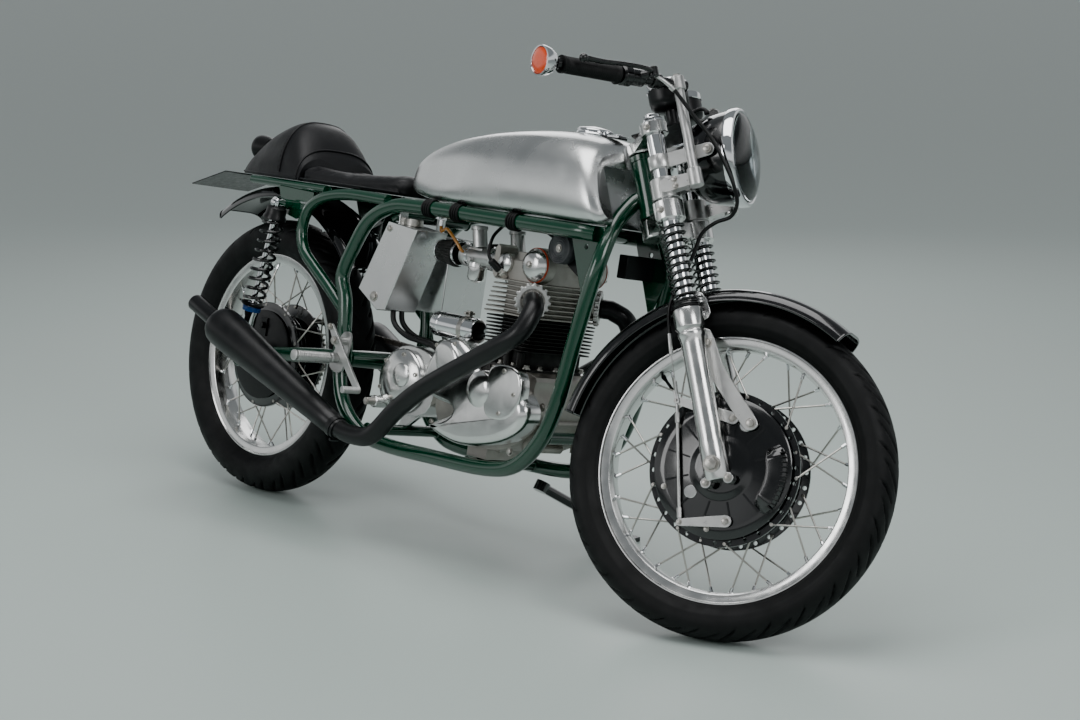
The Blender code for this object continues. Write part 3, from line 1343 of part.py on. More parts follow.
# Cables that turn with the fork; each route is (ahead, left, up) from the middle of the front axle
cable_radius = 0.004
brake_cable_route = (
    (0.0330, -0.1931, 0.7426), (0.0487, -0.1686, 0.7410), (0.0690, -0.1500, 0.7150), (0.0920, -0.1380, 0.6640),
    (0.1150, -0.1180, 0.6120), (0.1270, -0.1020, 0.5640), (0.1330, -0.0880, 0.5220), (0.1290, -0.0700, 0.4900),
    (0.1080, -0.0540, 0.4720), (0.0750, -0.0480, 0.4700), (0.0440, -0.0470, 0.4560), (0.0180, -0.0460, 0.4180),
    (-0.0100, -0.0470, 0.3780), (-0.0300, -0.0560, 0.3500), (-0.0410, -0.0730, 0.3160), (-0.0460, -0.0800, 0.2700),
    (-0.0500, -0.0790, 0.2300), (-0.0545, -0.0700, 0.1850), (-0.0575, -0.0645, 0.1500))
dial_lead_route = (
    (0.0530, 0.0460, 0.7206), (0.0545, 0.0461, 0.7110), (0.0690, 0.0468, 0.7010), (0.0880, 0.0474, 0.7020),
    (0.0970, 0.0478, 0.6960), (0.0985, 0.0480, 0.6885))
cable("brake_cable", [wheel_centre + Vector(point) for point in brake_cable_route], cable_radius, cable_rubber,
      steering_turn, 2)
for name, side in sides:
    cable("dial_lead_" + name, [wheel_centre + Vector((x, side * y, z)) for x, y, z in dial_lead_route],
          cable_radius, cable_rubber, steering_turn, 2)

# Side stand: a leg from its lug to a foot that lies flat on the ground at the parked lean
stand_foot = Vector((0.898, 0.330, 0.0835))
stand_radius = 0.011
stand_foot_half = (0.030, 0.018, 0.005)
stand_lift = 0.010
stand_pivot = Vector((stand_x, stand_y, stand_z))
down = (stand_foot - stand_pivot).normalized()
folded = Vector((-1, 0.04, 0.0)).normalized()
stand_axis = down.cross(folded).normalized()
stand_fold = down.angle(folded)
stand_hinge = empty("stand_hinge", bike, stand_pivot)
lug_low = stand_pivot + stand_axis * (stand_radius + gap)
lug_top = lug_low + stand_axis * 2 * stand_lug_half
lug = [rod(lug_low, lug_top, stand_lug_radius, 16)]
stand_leg = [rod(stand_pivot - stand_axis * stand_radius, stand_pivot + stand_axis * stand_radius,
                 stand_lug_radius, 16),
             sweep([stand_pivot, stand_foot], stand_radius - gap, 10),
             box([-h for h in stand_foot_half], stand_foot_half,
                 Matrix.Translation(stand_foot) @ Matrix.Rotation(lean_guess, 4, "X")
                 @ Matrix.Translation((0, 0, -stand_lift)))]
side_stand = fuse(stand_leg)
side_stand.transform(Matrix.Translation(-stand_pivot))
put("side_stand", side_stand, black_enamel, stand_hinge, (0, 0, 0))

# The frame is last, with its stand lug
frame_solids += lug
frame_solids.append(rod(lug_top - stand_axis * fuse_depth, (stand_x, stand_rail_y, frame_bottom + frame_tube / 2),
                        stand_lug_radius * 0.6, 10))
frame = fuse(frame_solids)
put("frame", frame, green_enamel, bike)

# Parked: both tyres and the stand's foot touch the ground
bpy.context.view_layer.update()


def spots(name):
    piece = bpy.data.objects[name]
    return [piece.matrix_world @ v.co for v in piece.data.vertices]


contacts = [spots(name) for name in ("front_tyre", "rear_tyre", "side_stand")]


def heights(lean, pitch, rise):
    turn = Matrix.Rotation(pitch, 3, "Y") @ Matrix.Rotation(-lean, 3, "X")
    row = turn.row[2]
    return Vector([min(row.dot(p) for p in points) + rise for points in contacts])


pose = Vector((lean_guess, 0, 0))
nudge = 0.0005
for turn_count in range(12):
    here = heights(*pose)
    columns = []
    for k in range(3):
        moved = pose.copy()
        moved[k] += nudge
        columns.append((heights(*moved) - here) / nudge)
    slope = Matrix(columns).transposed()
    pose -= slope.inverted() @ here
bike.rotation_euler = (-pose[0], pose[1], 0)
bike.location = (0, 0, pose[2])
bpy.context.view_layer.update()

# The part's origin is under the middle of its box
corners = []
for piece in bpy.data.objects:
    if piece.type == "MESH":
        corners += [piece.matrix_world @ v.co for v in piece.data.vertices]
middle_x = (min(c.x for c in corners) + max(c.x for c in corners)) / 2
middle_y = (min(c.y for c in corners) + max(c.y for c in corners)) / 2
bike.location = (-middle_x, -middle_y, pose[2])
bpy.context.view_layer.update()
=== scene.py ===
import json
import math
from math import cos, pi, radians, sin, tau

import bmesh
import bpy
import numpy as np
from mathutils import Matrix, Vector


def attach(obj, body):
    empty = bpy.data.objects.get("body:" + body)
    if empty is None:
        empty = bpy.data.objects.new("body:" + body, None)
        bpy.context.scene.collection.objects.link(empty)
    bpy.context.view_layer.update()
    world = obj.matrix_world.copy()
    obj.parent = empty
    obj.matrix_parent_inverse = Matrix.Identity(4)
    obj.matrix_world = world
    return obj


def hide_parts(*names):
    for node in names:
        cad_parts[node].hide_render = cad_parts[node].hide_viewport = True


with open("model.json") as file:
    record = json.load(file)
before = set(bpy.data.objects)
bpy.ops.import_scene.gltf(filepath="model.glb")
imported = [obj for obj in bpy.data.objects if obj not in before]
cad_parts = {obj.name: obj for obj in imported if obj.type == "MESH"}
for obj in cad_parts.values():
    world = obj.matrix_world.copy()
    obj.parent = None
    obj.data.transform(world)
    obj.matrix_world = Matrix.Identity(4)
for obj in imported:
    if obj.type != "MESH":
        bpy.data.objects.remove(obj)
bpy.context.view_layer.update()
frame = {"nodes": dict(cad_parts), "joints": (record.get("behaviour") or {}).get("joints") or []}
print("frame loaded")

# Places: the leaning bike, the turned fork and the two wheels, read from the joints
joints = {joint["name"]: joint for joint in frame["joints"]}
rake = radians(25.16)
wheelbase = 1.431
forkOffset = 0.057
frontRadius = 0.322
rearRadius = 0.325
trail = (frontRadius * sin(rake) - forkOffset) / cos(rake)
sides = (("Right", -1), ("Left", 1))
rearAxle = Vector(joints["rear_wheel_spin"]["pos_m"])
bikeY = Vector(joints["rear_wheel_spin"]["axis"]).normalized()
steerLine = Vector(joints["steering"]["axis"]).normalized()
crossLine = bikeY.cross(steerLine)
bikeX = (crossLine * cos(rake) - steerLine * sin(rake)).normalized()
bikeZ = bikeX.cross(bikeY)
frontAxle = Vector(joints["front_wheel_spin"]["pos_m"])
forkY = Vector(joints["front_wheel_spin"]["axis"]).normalized()
forkX = forkY.cross(steerLine)


def axes(x, y, z, origin):
    return Matrix.Translation(origin) @ Matrix((x, y, z)).transposed().to_4x4()


bikePlace = axes(bikeX, bikeY, bikeZ, rearAxle - bikeZ * rearRadius)
forkPlace = axes(forkX, forkY, steerLine, frontAxle)
rearPlace = axes(bikeX, bikeY, bikeZ, rearAxle)
homes = {"chassis": bikePlace, "steering": forkPlace, "front_wheel": forkPlace, "rear_wheel": rearPlace}


def shifted(x, y, z):
    return Matrix.Translation((x, y, z))


def aimed(start, toward):
    line = Vector(toward) - Vector(start)
    return Matrix.Translation(start) @ line.to_track_quat("Z", "Y").to_matrix().to_4x4()


# Finishes: each is one node material with its own grain, wear and gloss
finishes = {"greenEnamel": {"colour": (0.0012, 0.046, 0.022), "shade": (0.0008, 0.036, 0.017), "mottle": 5,
    "rough": (0.16, 0.27), "roughScale": 24, "bump": 0.03, "grain": 260, "coat": 0.9},
    "blackEnamel": {"colour": (0.0035, 0.0035, 0.0042), "shade": (0.006, 0.006, 0.0065), "mottle": 8,
    "rough": (0.12, 0.24), "roughScale": 30, "bump": 0.02, "grain": 300, "coat": 0.9},
    "pipeBlack": {"colour": (0.005, 0.0054, 0.0066), "shade": (0.012, 0.012, 0.012), "mottle": 14,
    "rough": (0.3, 0.42), "roughScale": 40, "bump": 0.05, "grain": 900, "shine": 0.42},
    "tankAlloy": {"colour": (0.8, 0.81, 0.8), "shade": (0.66, 0.67, 0.67), "mottle": 7, "metal": 1,
    "rough": (0.17, 0.36), "roughScale": 9, "bump": 0.05, "grain": 60, "stretch": (2, 40, 40)},
    "polishedAlloy": {"colour": (0.84, 0.84, 0.83), "shade": (0.7, 0.7, 0.69), "mottle": 22, "metal": 1,
    "rough": (0.12, 0.27), "roughScale": 35, "bump": 0.03, "grain": 420}, "castAlloy": {"colour": (0.52, 0.51, 0.48),
    "shade": (0.33, 0.31, 0.28), "mottle": 26, "metal": 1, "rough": (0.36, 0.58), "roughScale": 60, "bump": 0.22,
    "grain": 1300}, "satinAlloy": {"colour": (0.66, 0.66, 0.65), "shade": (0.52, 0.52, 0.51), "mottle": 40,
    "metal": 1, "rough": (0.27, 0.42), "roughScale": 70, "bump": 0.08, "grain": 900},
    "reflector": {"colour": (0.86, 0.88, 0.89), "shade": (0.78, 0.8, 0.81), "mottle": 30, "metal": 0.3,
    "rough": (0.2, 0.3), "roughScale": 60, "bump": 0.02, "grain": 300}, "chrome": {"colour": (0.88, 0.89, 0.9),
    "shade": (0.8, 0.81, 0.83), "mottle": 30, "metal": 1, "rough": (0.03, 0.09), "roughScale": 60, "bump": 0.01,
    "grain": 300}, "zincSteel": {"colour": (0.58, 0.57, 0.55), "shade": (0.4, 0.38, 0.34), "mottle": 90, "metal": 1,
    "rough": (0.26, 0.42), "roughScale": 160, "bump": 0.08, "grain": 1500},
    "chainSteel": {"colour": (0.3, 0.29, 0.27), "shade": (0.12, 0.11, 0.1), "mottle": 120, "metal": 1,
    "rough": (0.34, 0.55), "roughScale": 200, "bump": 0.08, "grain": 1500},
    "barrelBlack": {"colour": (0.007, 0.007, 0.007), "shade": (0.016, 0.015, 0.013), "mottle": 60,
    "rough": (0.42, 0.62), "roughScale": 90, "bump": 0.18, "grain": 1200},
    "tyreRubber": {"colour": (0.006, 0.006, 0.0066), "shade": (0.011, 0.011, 0.011), "mottle": 18,
    "rough": (0.5, 0.7), "roughScale": 30, "bump": 0.12, "grain": 1500, "shine": 0.3},
    "gripRubber": {"colour": (0.0075, 0.0075, 0.0078), "shade": (0.012, 0.012, 0.012), "shine": 0.3, "mottle": 60,
    "rough": (0.5, 0.68), "roughScale": 80, "bump": 0.15, "grain": 1100}, "cableBlack": {"colour": (0.005, 0.005,
    0.0055), "shade": (0.008, 0.008, 0.008), "shine": 0.4, "mottle": 60, "rough": (0.3, 0.42), "roughScale": 90,
    "bump": 0.05, "grain": 900}, "seatLeather": {"colour": (0.0085, 0.0085, 0.0095), "shade": (0.013, 0.013, 0.014),
    "shine": 0.36, "mottle": 16, "rough": (0.4, 0.56), "roughScale": 26, "bump": 0.34, "grain": 420, "cells": True},
    "moulding": {"colour": (0.006, 0.006, 0.0065), "shade": (0.01, 0.01, 0.0105), "shine": 0.4, "mottle": 50,
    "rough": (0.28, 0.42), "roughScale": 90, "bump": 0.1, "grain": 1400}, "greyMoulding": {"colour": (0.085, 0.088,
    0.092), "shade": (0.06, 0.062, 0.066), "mottle": 50, "rough": (0.38, 0.52), "roughScale": 90, "bump": 0.12,
    "grain": 1400}, "springBlack": {"colour": (0.004, 0.004, 0.0045), "shade": (0.007, 0.007, 0.007), "mottle": 60,
    "rough": (0.22, 0.34), "roughScale": 90, "bump": 0.04, "grain": 800, "coat": 0.4},
    "blueBand": {"colour": (0.01, 0.06, 0.22), "shade": (0.008, 0.045, 0.17), "mottle": 60, "rough": (0.25, 0.35),
    "roughScale": 90, "bump": 0.03, "grain": 800, "coat": 0.4}, "gasketRed": {"colour": (0.42, 0.055, 0.016),
    "shade": (0.32, 0.04, 0.012), "mottle": 90, "rough": (0.45, 0.6), "roughScale": 120, "bump": 0.1, "grain": 1200},
    "fuelHose": {"colour": (0.5, 0.22, 0.04), "shade": (0.4, 0.16, 0.03), "mottle": 60, "rough": (0.18, 0.28),
    "roughScale": 60, "bump": 0.02, "grain": 300, "coat": 0.5}, "amberLens": {"colour": (0.88, 0.085, 0.001),
    "shade": (0.7, 0.055, 0.001), "mottle": 60, "rough": (0.08, 0.16), "roughScale": 60, "bump": 0.25, "grain": 260,
    "coat": 1.0}, "redLens": {"colour": (0.45, 0.008, 0.006), "shade": (0.34, 0.006, 0.004), "mottle": 60,
    "rough": (0.08, 0.16), "roughScale": 60, "bump": 0.25, "grain": 260, "coat": 1.0},
    "dialFace": {"colour": (0.015, 0.015, 0.016), "shade": (0.02, 0.02, 0.021), "mottle": 60, "rough": (0.35, 0.45),
    "roughScale": 60, "bump": 0.02, "grain": 300}, "dialMark": {"colour": (0.75, 0.76, 0.74),
    "shade": (0.66, 0.67, 0.65), "mottle": 60, "rough": (0.4, 0.5), "roughScale": 60, "bump": 0.02, "grain": 300},}


def makeFinish(name, look):
    material = bpy.data.materials.new(name)
    material.use_nodes = True
    nodes, links = material.node_tree.nodes, material.node_tree.links
    shader = nodes["Principled BSDF"]
    shader.inputs["Metallic"].default_value = look.get("metal", 0)
    shader.inputs["Coat Weight"].default_value = look.get("coat", 0)
    shader.inputs["Coat Roughness"].default_value = 0.06
    shader.inputs["Specular IOR Level"].default_value = look.get("shine", 0.5)
    where = nodes.new("ShaderNodeTexCoord")
    mottle = nodes.new("ShaderNodeTexNoise")
    mottle.inputs["Scale"].default_value = look["mottle"]
    mottle.inputs["Detail"].default_value = 4
    links.new(where.outputs["Object"], mottle.inputs["Vector"])
    blend = nodes.new("ShaderNodeMix")
    blend.data_type = "RGBA"
    blend.inputs["A"].default_value = (*look["colour"], 1)
    blend.inputs["B"].default_value = (*look["shade"], 1)
    links.new(mottle.outputs["Fac"], blend.inputs["Factor"])
    links.new(blend.outputs["Result"], shader.inputs["Base Color"])
    gloss = nodes.new("ShaderNodeTexNoise")
    gloss.inputs["Scale"].default_value = look["roughScale"]
    gloss.inputs["Detail"].default_value = 5
    spread = nodes.new("ShaderNodeMapRange")
    spread.inputs["From Min"].default_value = 0.3
    spread.inputs["From Max"].default_value = 0.7
    spread.inputs["To Min"].default_value = look["rough"][0]
    spread.inputs["To Max"].default_value = look["rough"][1]
    stretch = nodes.new("ShaderNodeMapping")
    stretch.inputs["Scale"].default_value = look.get("stretch", (1, 1, 1))
    links.new(where.outputs["Object"], stretch.inputs["Vector"])
    links.new(where.outputs["Object"], gloss.inputs["Vector"])
    links.new(gloss.outputs["Fac"], spread.inputs["Value"])
    links.new(spread.outputs["Result"], shader.inputs["Roughness"])
    if look.get("cells"):
        grain = nodes.new("ShaderNodeTexVoronoi")
        height = grain.outputs["Distance"]
    else:
        grain = nodes.new("ShaderNodeTexNoise")
        grain.inputs["Detail"].default_value = 3
        height = grain.outputs["Fac"]
    grain.inputs["Scale"].default_value = look["grain"]
    links.new(stretch.outputs["Vector"], grain.inputs["Vector"])
    bump = nodes.new("ShaderNodeBump")
    bump.inputs["Strength"].default_value = look["bump"]
    bump.inputs["Distance"].default_value = 0.001
    links.new(height, bump.inputs["Height"])
    links.new(bump.outputs["Normal"], shader.inputs["Normal"])
    return material


materials = {name: makeFinish(name, look) for name, look in finishes.items()}
glass = bpy.data.materials.new("clearGlass")
glass.use_nodes = True
glassShader = glass.node_tree.nodes["Principled BSDF"]
glassShader.inputs["Base Color"].default_value = (0.93, 0.96, 0.97, 1)
glassShader.inputs["Roughness"].default_value = 0.03
glassShader.inputs["Transmission Weight"].default_value = 1
glassShader.inputs["IOR"].default_value = 1.45
materials["clearGlass"] = glass
print("finishes made")


# Shapes: every one returns its points and faces, in the place of the piece it belongs to
def between(a, b, c, d, t):
    return 0.5 * ((2 * b) + (c - a) * t + (2 * a - 5 * b + 4 * c - d) * t ** 2 + (3 * b - a - 3 * c + d) * t ** 3)


def around(radius, angle, centre=(0, 0)):
    return centre[0] + radius * cos(angle), centre[1] + radius * sin(angle)


def curveThrough(points, steps=6, closed=False):
    points = [Vector(p) for p in points]
    count = len(points)
    spans = count if closed else count - 1
    route = []
    for k in range(spans):
        if closed:
            a, b, c, d = (points[(k + m) % count] for m in (-1, 0, 1, 2))
        else:
            b, c = points[k], points[k + 1]
            a = points[k - 1] if k else b + (b - c)
            d = points[k + 2] if k + 2 < count else c + (c - b)
        route += [between(a, b, c, d, m / steps) for m in range(steps)]
    if not closed:
        route.append(points[-1])
    return route


def joined(parts):
    points, faces = [], []
    for some, flat in parts:
        base = len(points)
        points += list(some)
        faces += [tuple(i + base for i in face) for face in flat]
    return points, faces


def flipped(part):
    return [Vector((p[0], -p[1], p[2])) for p in part[0]], part[1]


def rings(rows, closed=True, caps=True, loop=False):
    count = len(rows[0])
    points = [p for row in rows for p in row]
    faces = []
    for k in range(len(rows) if loop else len(rows) - 1):
        after = (k + 1) % len(rows)
        for m in range(count if closed else count - 1):
            n = (m + 1) % count
            faces.append((k * count + m, k * count + n, after * count + n, after * count + m))
    if caps and not loop:
        faces.append(tuple(range(count))[::-1])
        faces.append(tuple((len(rows) - 1) * count + m for m in range(count)))
    return points, faces


def lathe(profile, place=Matrix(), count=48, ring=False, flute=None):
    rows = []
    for radius, height in profile:
        row = []
        for k in range(count):
            angle = tau * k / count
            reach = max(radius, 0.00001)
            if flute:
                reach *= 1 + flute[1] * cos(flute[0] * angle)
            row.append(place @ Vector((reach * cos(angle), reach * sin(angle), height)))
        rows.append(row)
    return rings(rows, loop=ring)


def rod(start, end, radius, count=20, endRadius=None, edge=0.0006):
    far = radius if endRadius is None else endRadius
    length = (Vector(end) - Vector(start)).length
    edge = min(edge, radius / 3, length / 3)
    return lathe([(radius - edge, 0), (radius, edge), (far, length - edge), (far - edge, length)], aimed(start, end),
        count)


def tube(points, radius, count=16, caps=True):
    points = [Vector(p) for p in points]
    radii = radius if isinstance(radius, list) else [radius] * len(points)
    lines = []
    for k in range(len(points)):
        lines.append((points[min(k + 1, len(points) - 1)] - points[max(k - 1, 0)]).normalized())
    normal = lines[0].orthogonal().normalized()
    rows = []
    for k, point in enumerate(points):
        if k:
            normal = lines[k - 1].rotation_difference(lines[k]) @ normal
        side = lines[k].cross(normal)
        rows.append([point + (normal * cos(tau * m / count) + side * sin(tau * m / count)) * radii[k]
            for m in range(count)])
    return rings(rows, caps=caps)


def hoop(centre, axis, radius, wire, count=32, thick=8):
    place = aimed(centre, Vector(centre) + Vector(axis))
    profile = [(radius + wire * cos(tau * k / thick), wire * sin(tau * k / thick)) for k in range(thick)]
    return lathe(profile, place, count, True)


def coil(start, end, radius, wire, turns, perTurn=18, count=8):
    place = aimed(start, end)
    length = (Vector(end) - Vector(start)).length
    steps = int(turns * perTurn)
    route = []
    for k in range(steps + 1):
        share = k / steps
        angle = tau * turns * share
        route.append(place @ Vector((radius * cos(angle), radius * sin(angle), length * share)))
    return tube(route, wire, count)


def box(low, high, place=Matrix()):
    points = [place @ Vector((x, y, z)) for x in (low[0], high[0]) for y in (low[1], high[1]) for z in (low[2],
        high[2])]
    return points, [(0, 1, 3, 2), (4, 6, 7, 5), (0, 4, 5, 1), (2, 3, 7, 6), (0, 2, 6, 4), (1, 5, 7, 3)]


def slab(outline, near, far):
    return rings([[Vector((p[0], y, p[1])) for p in outline] for y in (near, far)])


def prism(outline, low, high, place=Matrix()):
    return rings([[place @ Vector((p[0], p[1], z)) for p in outline] for z in (low, high)])


def link(start, end, startRadius, endRadius, steps=8):
    start, end = Vector(start), Vector(end)
    turn = math.atan2(end.y - start.y, end.x - start.x)
    outline = []
    for centre, radius, base in ((end, endRadius, turn - pi / 2), (start, startRadius, turn + pi / 2)):
        outline += [around(radius, base + pi * k / steps, centre) for k in range(steps + 1)]
    return outline


def smoothOutline(outline, steps=5):
    return [(p.x, p.y) for p in curveThrough([(x, y, 0) for x, y in outline], steps, True)]


def screw(point, toward, radius=0.0045, height=0.003):
    profile = [(0, height * 0.35), (radius * 0.52, height * 0.35), (radius * 0.55, height), (radius * 0.88, height),
        (radius, height * 0.7), (radius, -height)]
    return lathe(profile, aimed(point, Vector(point) + Vector(toward)), 12)


def bolt(point, toward, radius=0.007, height=0.005):
    place = aimed(point, Vector(point) + Vector(toward))
    return joined([lathe([(radius * 1.3, -0.001), (radius * 1.3, height * 0.25), (radius, height * 0.25)], place, 20),
        lathe([(radius, height * 0.2), (radius, height * 0.9), (radius * 0.82, height)], place, 6)])


def addObject(name, data):
    added = bpy.data.objects.new(name, data)
    bpy.context.scene.collection.objects.link(added)
    return added


def cleaned(mesh, near, flatten=False):
    work = bmesh.new()
    work.from_mesh(mesh)
    bmesh.ops.remove_doubles(work, verts=work.verts, dist=near)
    if flatten:
        bmesh.ops.dissolve_limit(work, angle_limit=radians(2), verts=work.verts, edges=work.edges)
    bmesh.ops.recalc_face_normals(work, faces=work.faces)
    work.to_mesh(mesh)
    work.free()


def solidFrom(name, parts):
    points, faces = joined(parts)
    mesh = bpy.data.meshes.new(name)
    mesh.from_pydata([tuple(p) for p in points], [], faces)
    cleaned(mesh, 0.00003)
    return addObject(name, mesh)


def painted(mesh, finish, angle):
    mesh.materials.clear()
    mesh.materials.append(materials[finish])
    mesh.shade_smooth()
    mesh.set_sharp_from_angle(angle=radians(angle))


def softened(piece, width, segments, angle):
    edge = piece.modifiers.new("edge", "BEVEL")
    edge.width, edge.segments, edge.limit_method = width, segments, "ANGLE"
    edge.angle_limit = radians(angle)
    return edge


# Makes a piece from its parts; a body has one usual place
def makePiece(name, parts, finish, body="chassis", place=None, replaces=(), bevel=0, angle=38, cut=None,
        subdivide=0, segments=2):
    piece = solidFrom(name, parts)
    if cut:
        cutter = solidFrom(name + "Cut", cut)
        trim = piece.modifiers.new("cut", "BOOLEAN")
        trim.operation, trim.solver, trim.object = "DIFFERENCE", "EXACT", cutter
        trim.use_self = True
        bakeModifiers(piece)
        bpy.data.objects.remove(cutter)
    piece.data.transform(place or homes[body])
    painted(piece.data, finish, angle)
    if subdivide:
        soft = piece.modifiers.new("soft", "SUBSURF")
        soft.levels = soft.render_levels = subdivide
    if bevel:
        softened(piece, bevel, segments, 38).use_clamp_overlap = True
    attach(piece, body)
    if replaces:
        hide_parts(*replaces)
    return piece


def bakeModifiers(piece):
    shape = bpy.data.meshes.new_from_object(piece.evaluated_get(bpy.context.evaluated_depsgraph_get()))
    piece.modifiers.clear()
    piece.data = shape


# Redraws a CAD node with rounded edges and smooth shading, in its own place
def dressNode(node, finish, body, bevel=0.0012, angle=35):
    mesh = frame["nodes"][node].data.copy()
    cleaned(mesh, 0.00005, True)
    piece = addObject(node + "Dressed", mesh)
    painted(mesh, finish, angle)
    softened(piece, bevel, 2, angle)
    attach(piece, body)
    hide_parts(node)


# Camera and light
camera = {"offset": (3.9051, -2.7774, 0.97565), "toward": (-0.7169, 0.6671, -0.2035), "lens": 67.42, "reach": 600}
eye = bpy.data.cameras.new("camera")
eye.lens = camera["lens"]
eye.sensor_width = 36
eye.sensor_fit = "HORIZONTAL"
eye.clip_end = camera["reach"]
eyeObject = addObject("camera", eye)
eyeObject.location = rearAxle + Vector(camera["offset"])
forward = Vector(camera["toward"]).normalized()
eyeObject.rotation_euler = forward.to_track_quat("-Z", "Y").to_euler()
bpy.context.scene.camera = eyeObject

lights = {"ceiling": ((0.2, -0.4, 3.6), (0, 0, 0.4), 2.6, 120), "front": ((3.6, -0.4, 2.6), (0.3, 0, 0.5), 1.5, 60),
    "side": ((-0.6, -4.2, 2.4), (0, 0, 0.5), 1.8, 60), "back": ((-2.6, 2.8, 2.4), (0, 0, 0.5), 2.0, 40)}
for name, (spot, target, width, power) in lights.items():
    lamp = bpy.data.lights.new(name, "AREA")
    lamp.shape, lamp.size, lamp.energy = "SQUARE", width, power
    lampObject = addObject(name, lamp)
    lampObject.location = spot
    lampObject.rotation_euler = (Vector(target) - Vector(spot)).to_track_quat("-Z", "Y").to_euler()
world = bpy.data.worlds.new("room")
world.use_nodes = True
worldNodes, worldLinks = world.node_tree.nodes, world.node_tree.links
sky = worldNodes["Background"]
sky.inputs["Strength"].default_value = 1.25
skyWhere = worldNodes.new("ShaderNodeTexCoord")
skySplit = worldNodes.new("ShaderNodeSeparateXYZ")
skyRamp = worldNodes.new("ShaderNodeValToRGB")
skyRamp.color_ramp.elements[0].color = (0.16, 0.18, 0.18, 1)
skyRamp.color_ramp.elements[1].color = (0.3, 0.32, 0.33, 1)
for spot, shade in ((0.1, (0.95, 0.98, 0.98, 1)), (0.3, (0.9, 0.93, 0.94, 1)), (0.42, (0.26, 0.28, 0.29, 1))):
    skyRamp.color_ramp.elements.new(spot).color = shade
worldLinks.new(skyWhere.outputs["Generated"], skySplit.inputs["Vector"])
worldLinks.new(skySplit.outputs["Z"], skyRamp.inputs["Fac"])
worldLinks.new(skyRamp.outputs["Color"], sky.inputs["Color"])
bpy.context.scene.world = world
bpy.context.scene.view_settings.look = "AgX - Punchy"
floorMesh = bpy.data.meshes.new("floor")
floorMesh.from_pydata([(-300, -300, 0), (300, -300, 0), (300, 300, 0), (-300, 300, 0)], [], [(0, 1, 2, 3)])
floorPaint = bpy.data.materials.new("floorPaint")
floorPaint.use_nodes = True
floorShader = floorPaint.node_tree.nodes["Principled BSDF"]
floorShader.inputs["Base Color"].default_value = (0.56, 0.645, 0.61, 1)
floorShader.inputs["Roughness"].default_value = 0.42
floorMesh.materials.append(floorPaint)
addObject("floor", floorMesh)
print("camera and light set")

# Tyres: a round tread with sweeping grooves down both sides
tyres = {"frontTyre": {"radius": frontRadius, "half": 0.047, "rim": 0.256, "rimHalf": 0.03, "pitches": 27,
    "body": "front_wheel", "node": "front_tyre"}, "rearTyre": {"radius": rearRadius, "half": 0.056, "rim": 0.2425,
    "rimHalf": 0.034, "pitches": 25, "body": "rear_wheel", "node": "rear_tyre"}}
tread = {"around": 820, "across": 66, "depth": 0.0048, "groove": 0.0048, "sweep": 0.24,
    "shape": ((0.02, 0.66), (0.14, 0.84), (0.34, 0.975), (0.58, 0.985), (0.8, 0.81), (0.95, 0.44), (1, 0))}


def grooves(theta, share, size):
    pitch = tau / size["pitches"]
    out = np.abs(share)
    depth = np.zeros(np.broadcast(theta, share).shape)
    for start, end, phase, sweep, width in ((0.05, 0.86, 0.0, tread["sweep"], 1.0),
            (0.34, 0.95, 0.52, tread["sweep"] * 0.8, 0.72)):
        lead = np.where(share < 0, 0.5, 0.0) + phase
        turn = (theta - sweep * out ** 1.3) / pitch - lead
        off = np.abs(turn - np.round(turn)) * pitch * size["radius"]
        taper = np.clip((out - start) / 0.08, 0, 1) * np.clip((end - out) / 0.16, 0, 1)
        half = tread["groove"] * width * (0.35 + 0.65 * taper) * 1.25
        depth = np.maximum(depth, np.clip((1 - off / half) * 2.4, 0, 1) * np.where(taper > 0, np.sqrt(taper), 0))
    return depth * tread["depth"]


def makeTyre(name, size):
    tall = size["radius"] - size["rim"]
    side = [(size["half"] * out, size["rim"] + tall * up) for up, out in tread["shape"]]
    side[0] = (size["rimHalf"] - 0.004, size["rim"] - 0.006)
    full = side + [(-y, r) for y, r in side[-2::-1]]
    fine = np.array([(p.x, p.y) for p in curveThrough([(y, r, 0) for y, r in full], 12)])
    fine[:, 1] = np.minimum(fine[:, 1], size["radius"])
    run = np.concatenate([[0], np.cumsum(np.hypot(*np.diff(fine, axis=0).T))])
    even = np.linspace(0, run[-1], tread["across"])
    y, r = np.interp(even, run, fine[:, 0]), np.interp(even, run, fine[:, 1])
    slopeY, slopeR = np.gradient(y), np.gradient(r)
    long = np.hypot(slopeY, slopeR)
    outY, outR = slopeR / long * -1, slopeY / long
    if outR[len(y) // 2] < 0:
        outY, outR = -outY, -outR
    theta = np.linspace(0, tau, tread["around"], endpoint=False)[:, None]
    depth = grooves(theta, (y / size["half"])[None, :], size) * (r[None, :] > size["rim"] + tall * 0.5)
    ridge = sum(np.exp(-((r - size["rim"] - up) / 0.001) ** 2) for up in (0.006, 0.018, 0.021))
    depth = depth - 0.0007 * ridge[None, :]
    radius, width = r[None, :] - depth * outR[None, :], y[None, :] - depth * outY[None, :]
    points = np.stack([radius * np.cos(theta), np.broadcast_to(width, radius.shape), radius * np.sin(theta)], -1)
    around, across = radius.shape
    index = np.arange(around * across).reshape(around, across)
    after, beside = np.roll(index, -1, 0), np.roll(index, -1, 1)
    faces = np.stack([index, beside, np.roll(after, -1, 1), after], -1).reshape(-1, 4)
    makePiece(name, [(points.reshape(-1, 3).tolist(), faces.tolist())], "tyreRubber", size["body"],
        replaces=[size["node"]], angle=60)


for name, size in tyres.items():
    makeTyre(name, size)
print("tyres made")

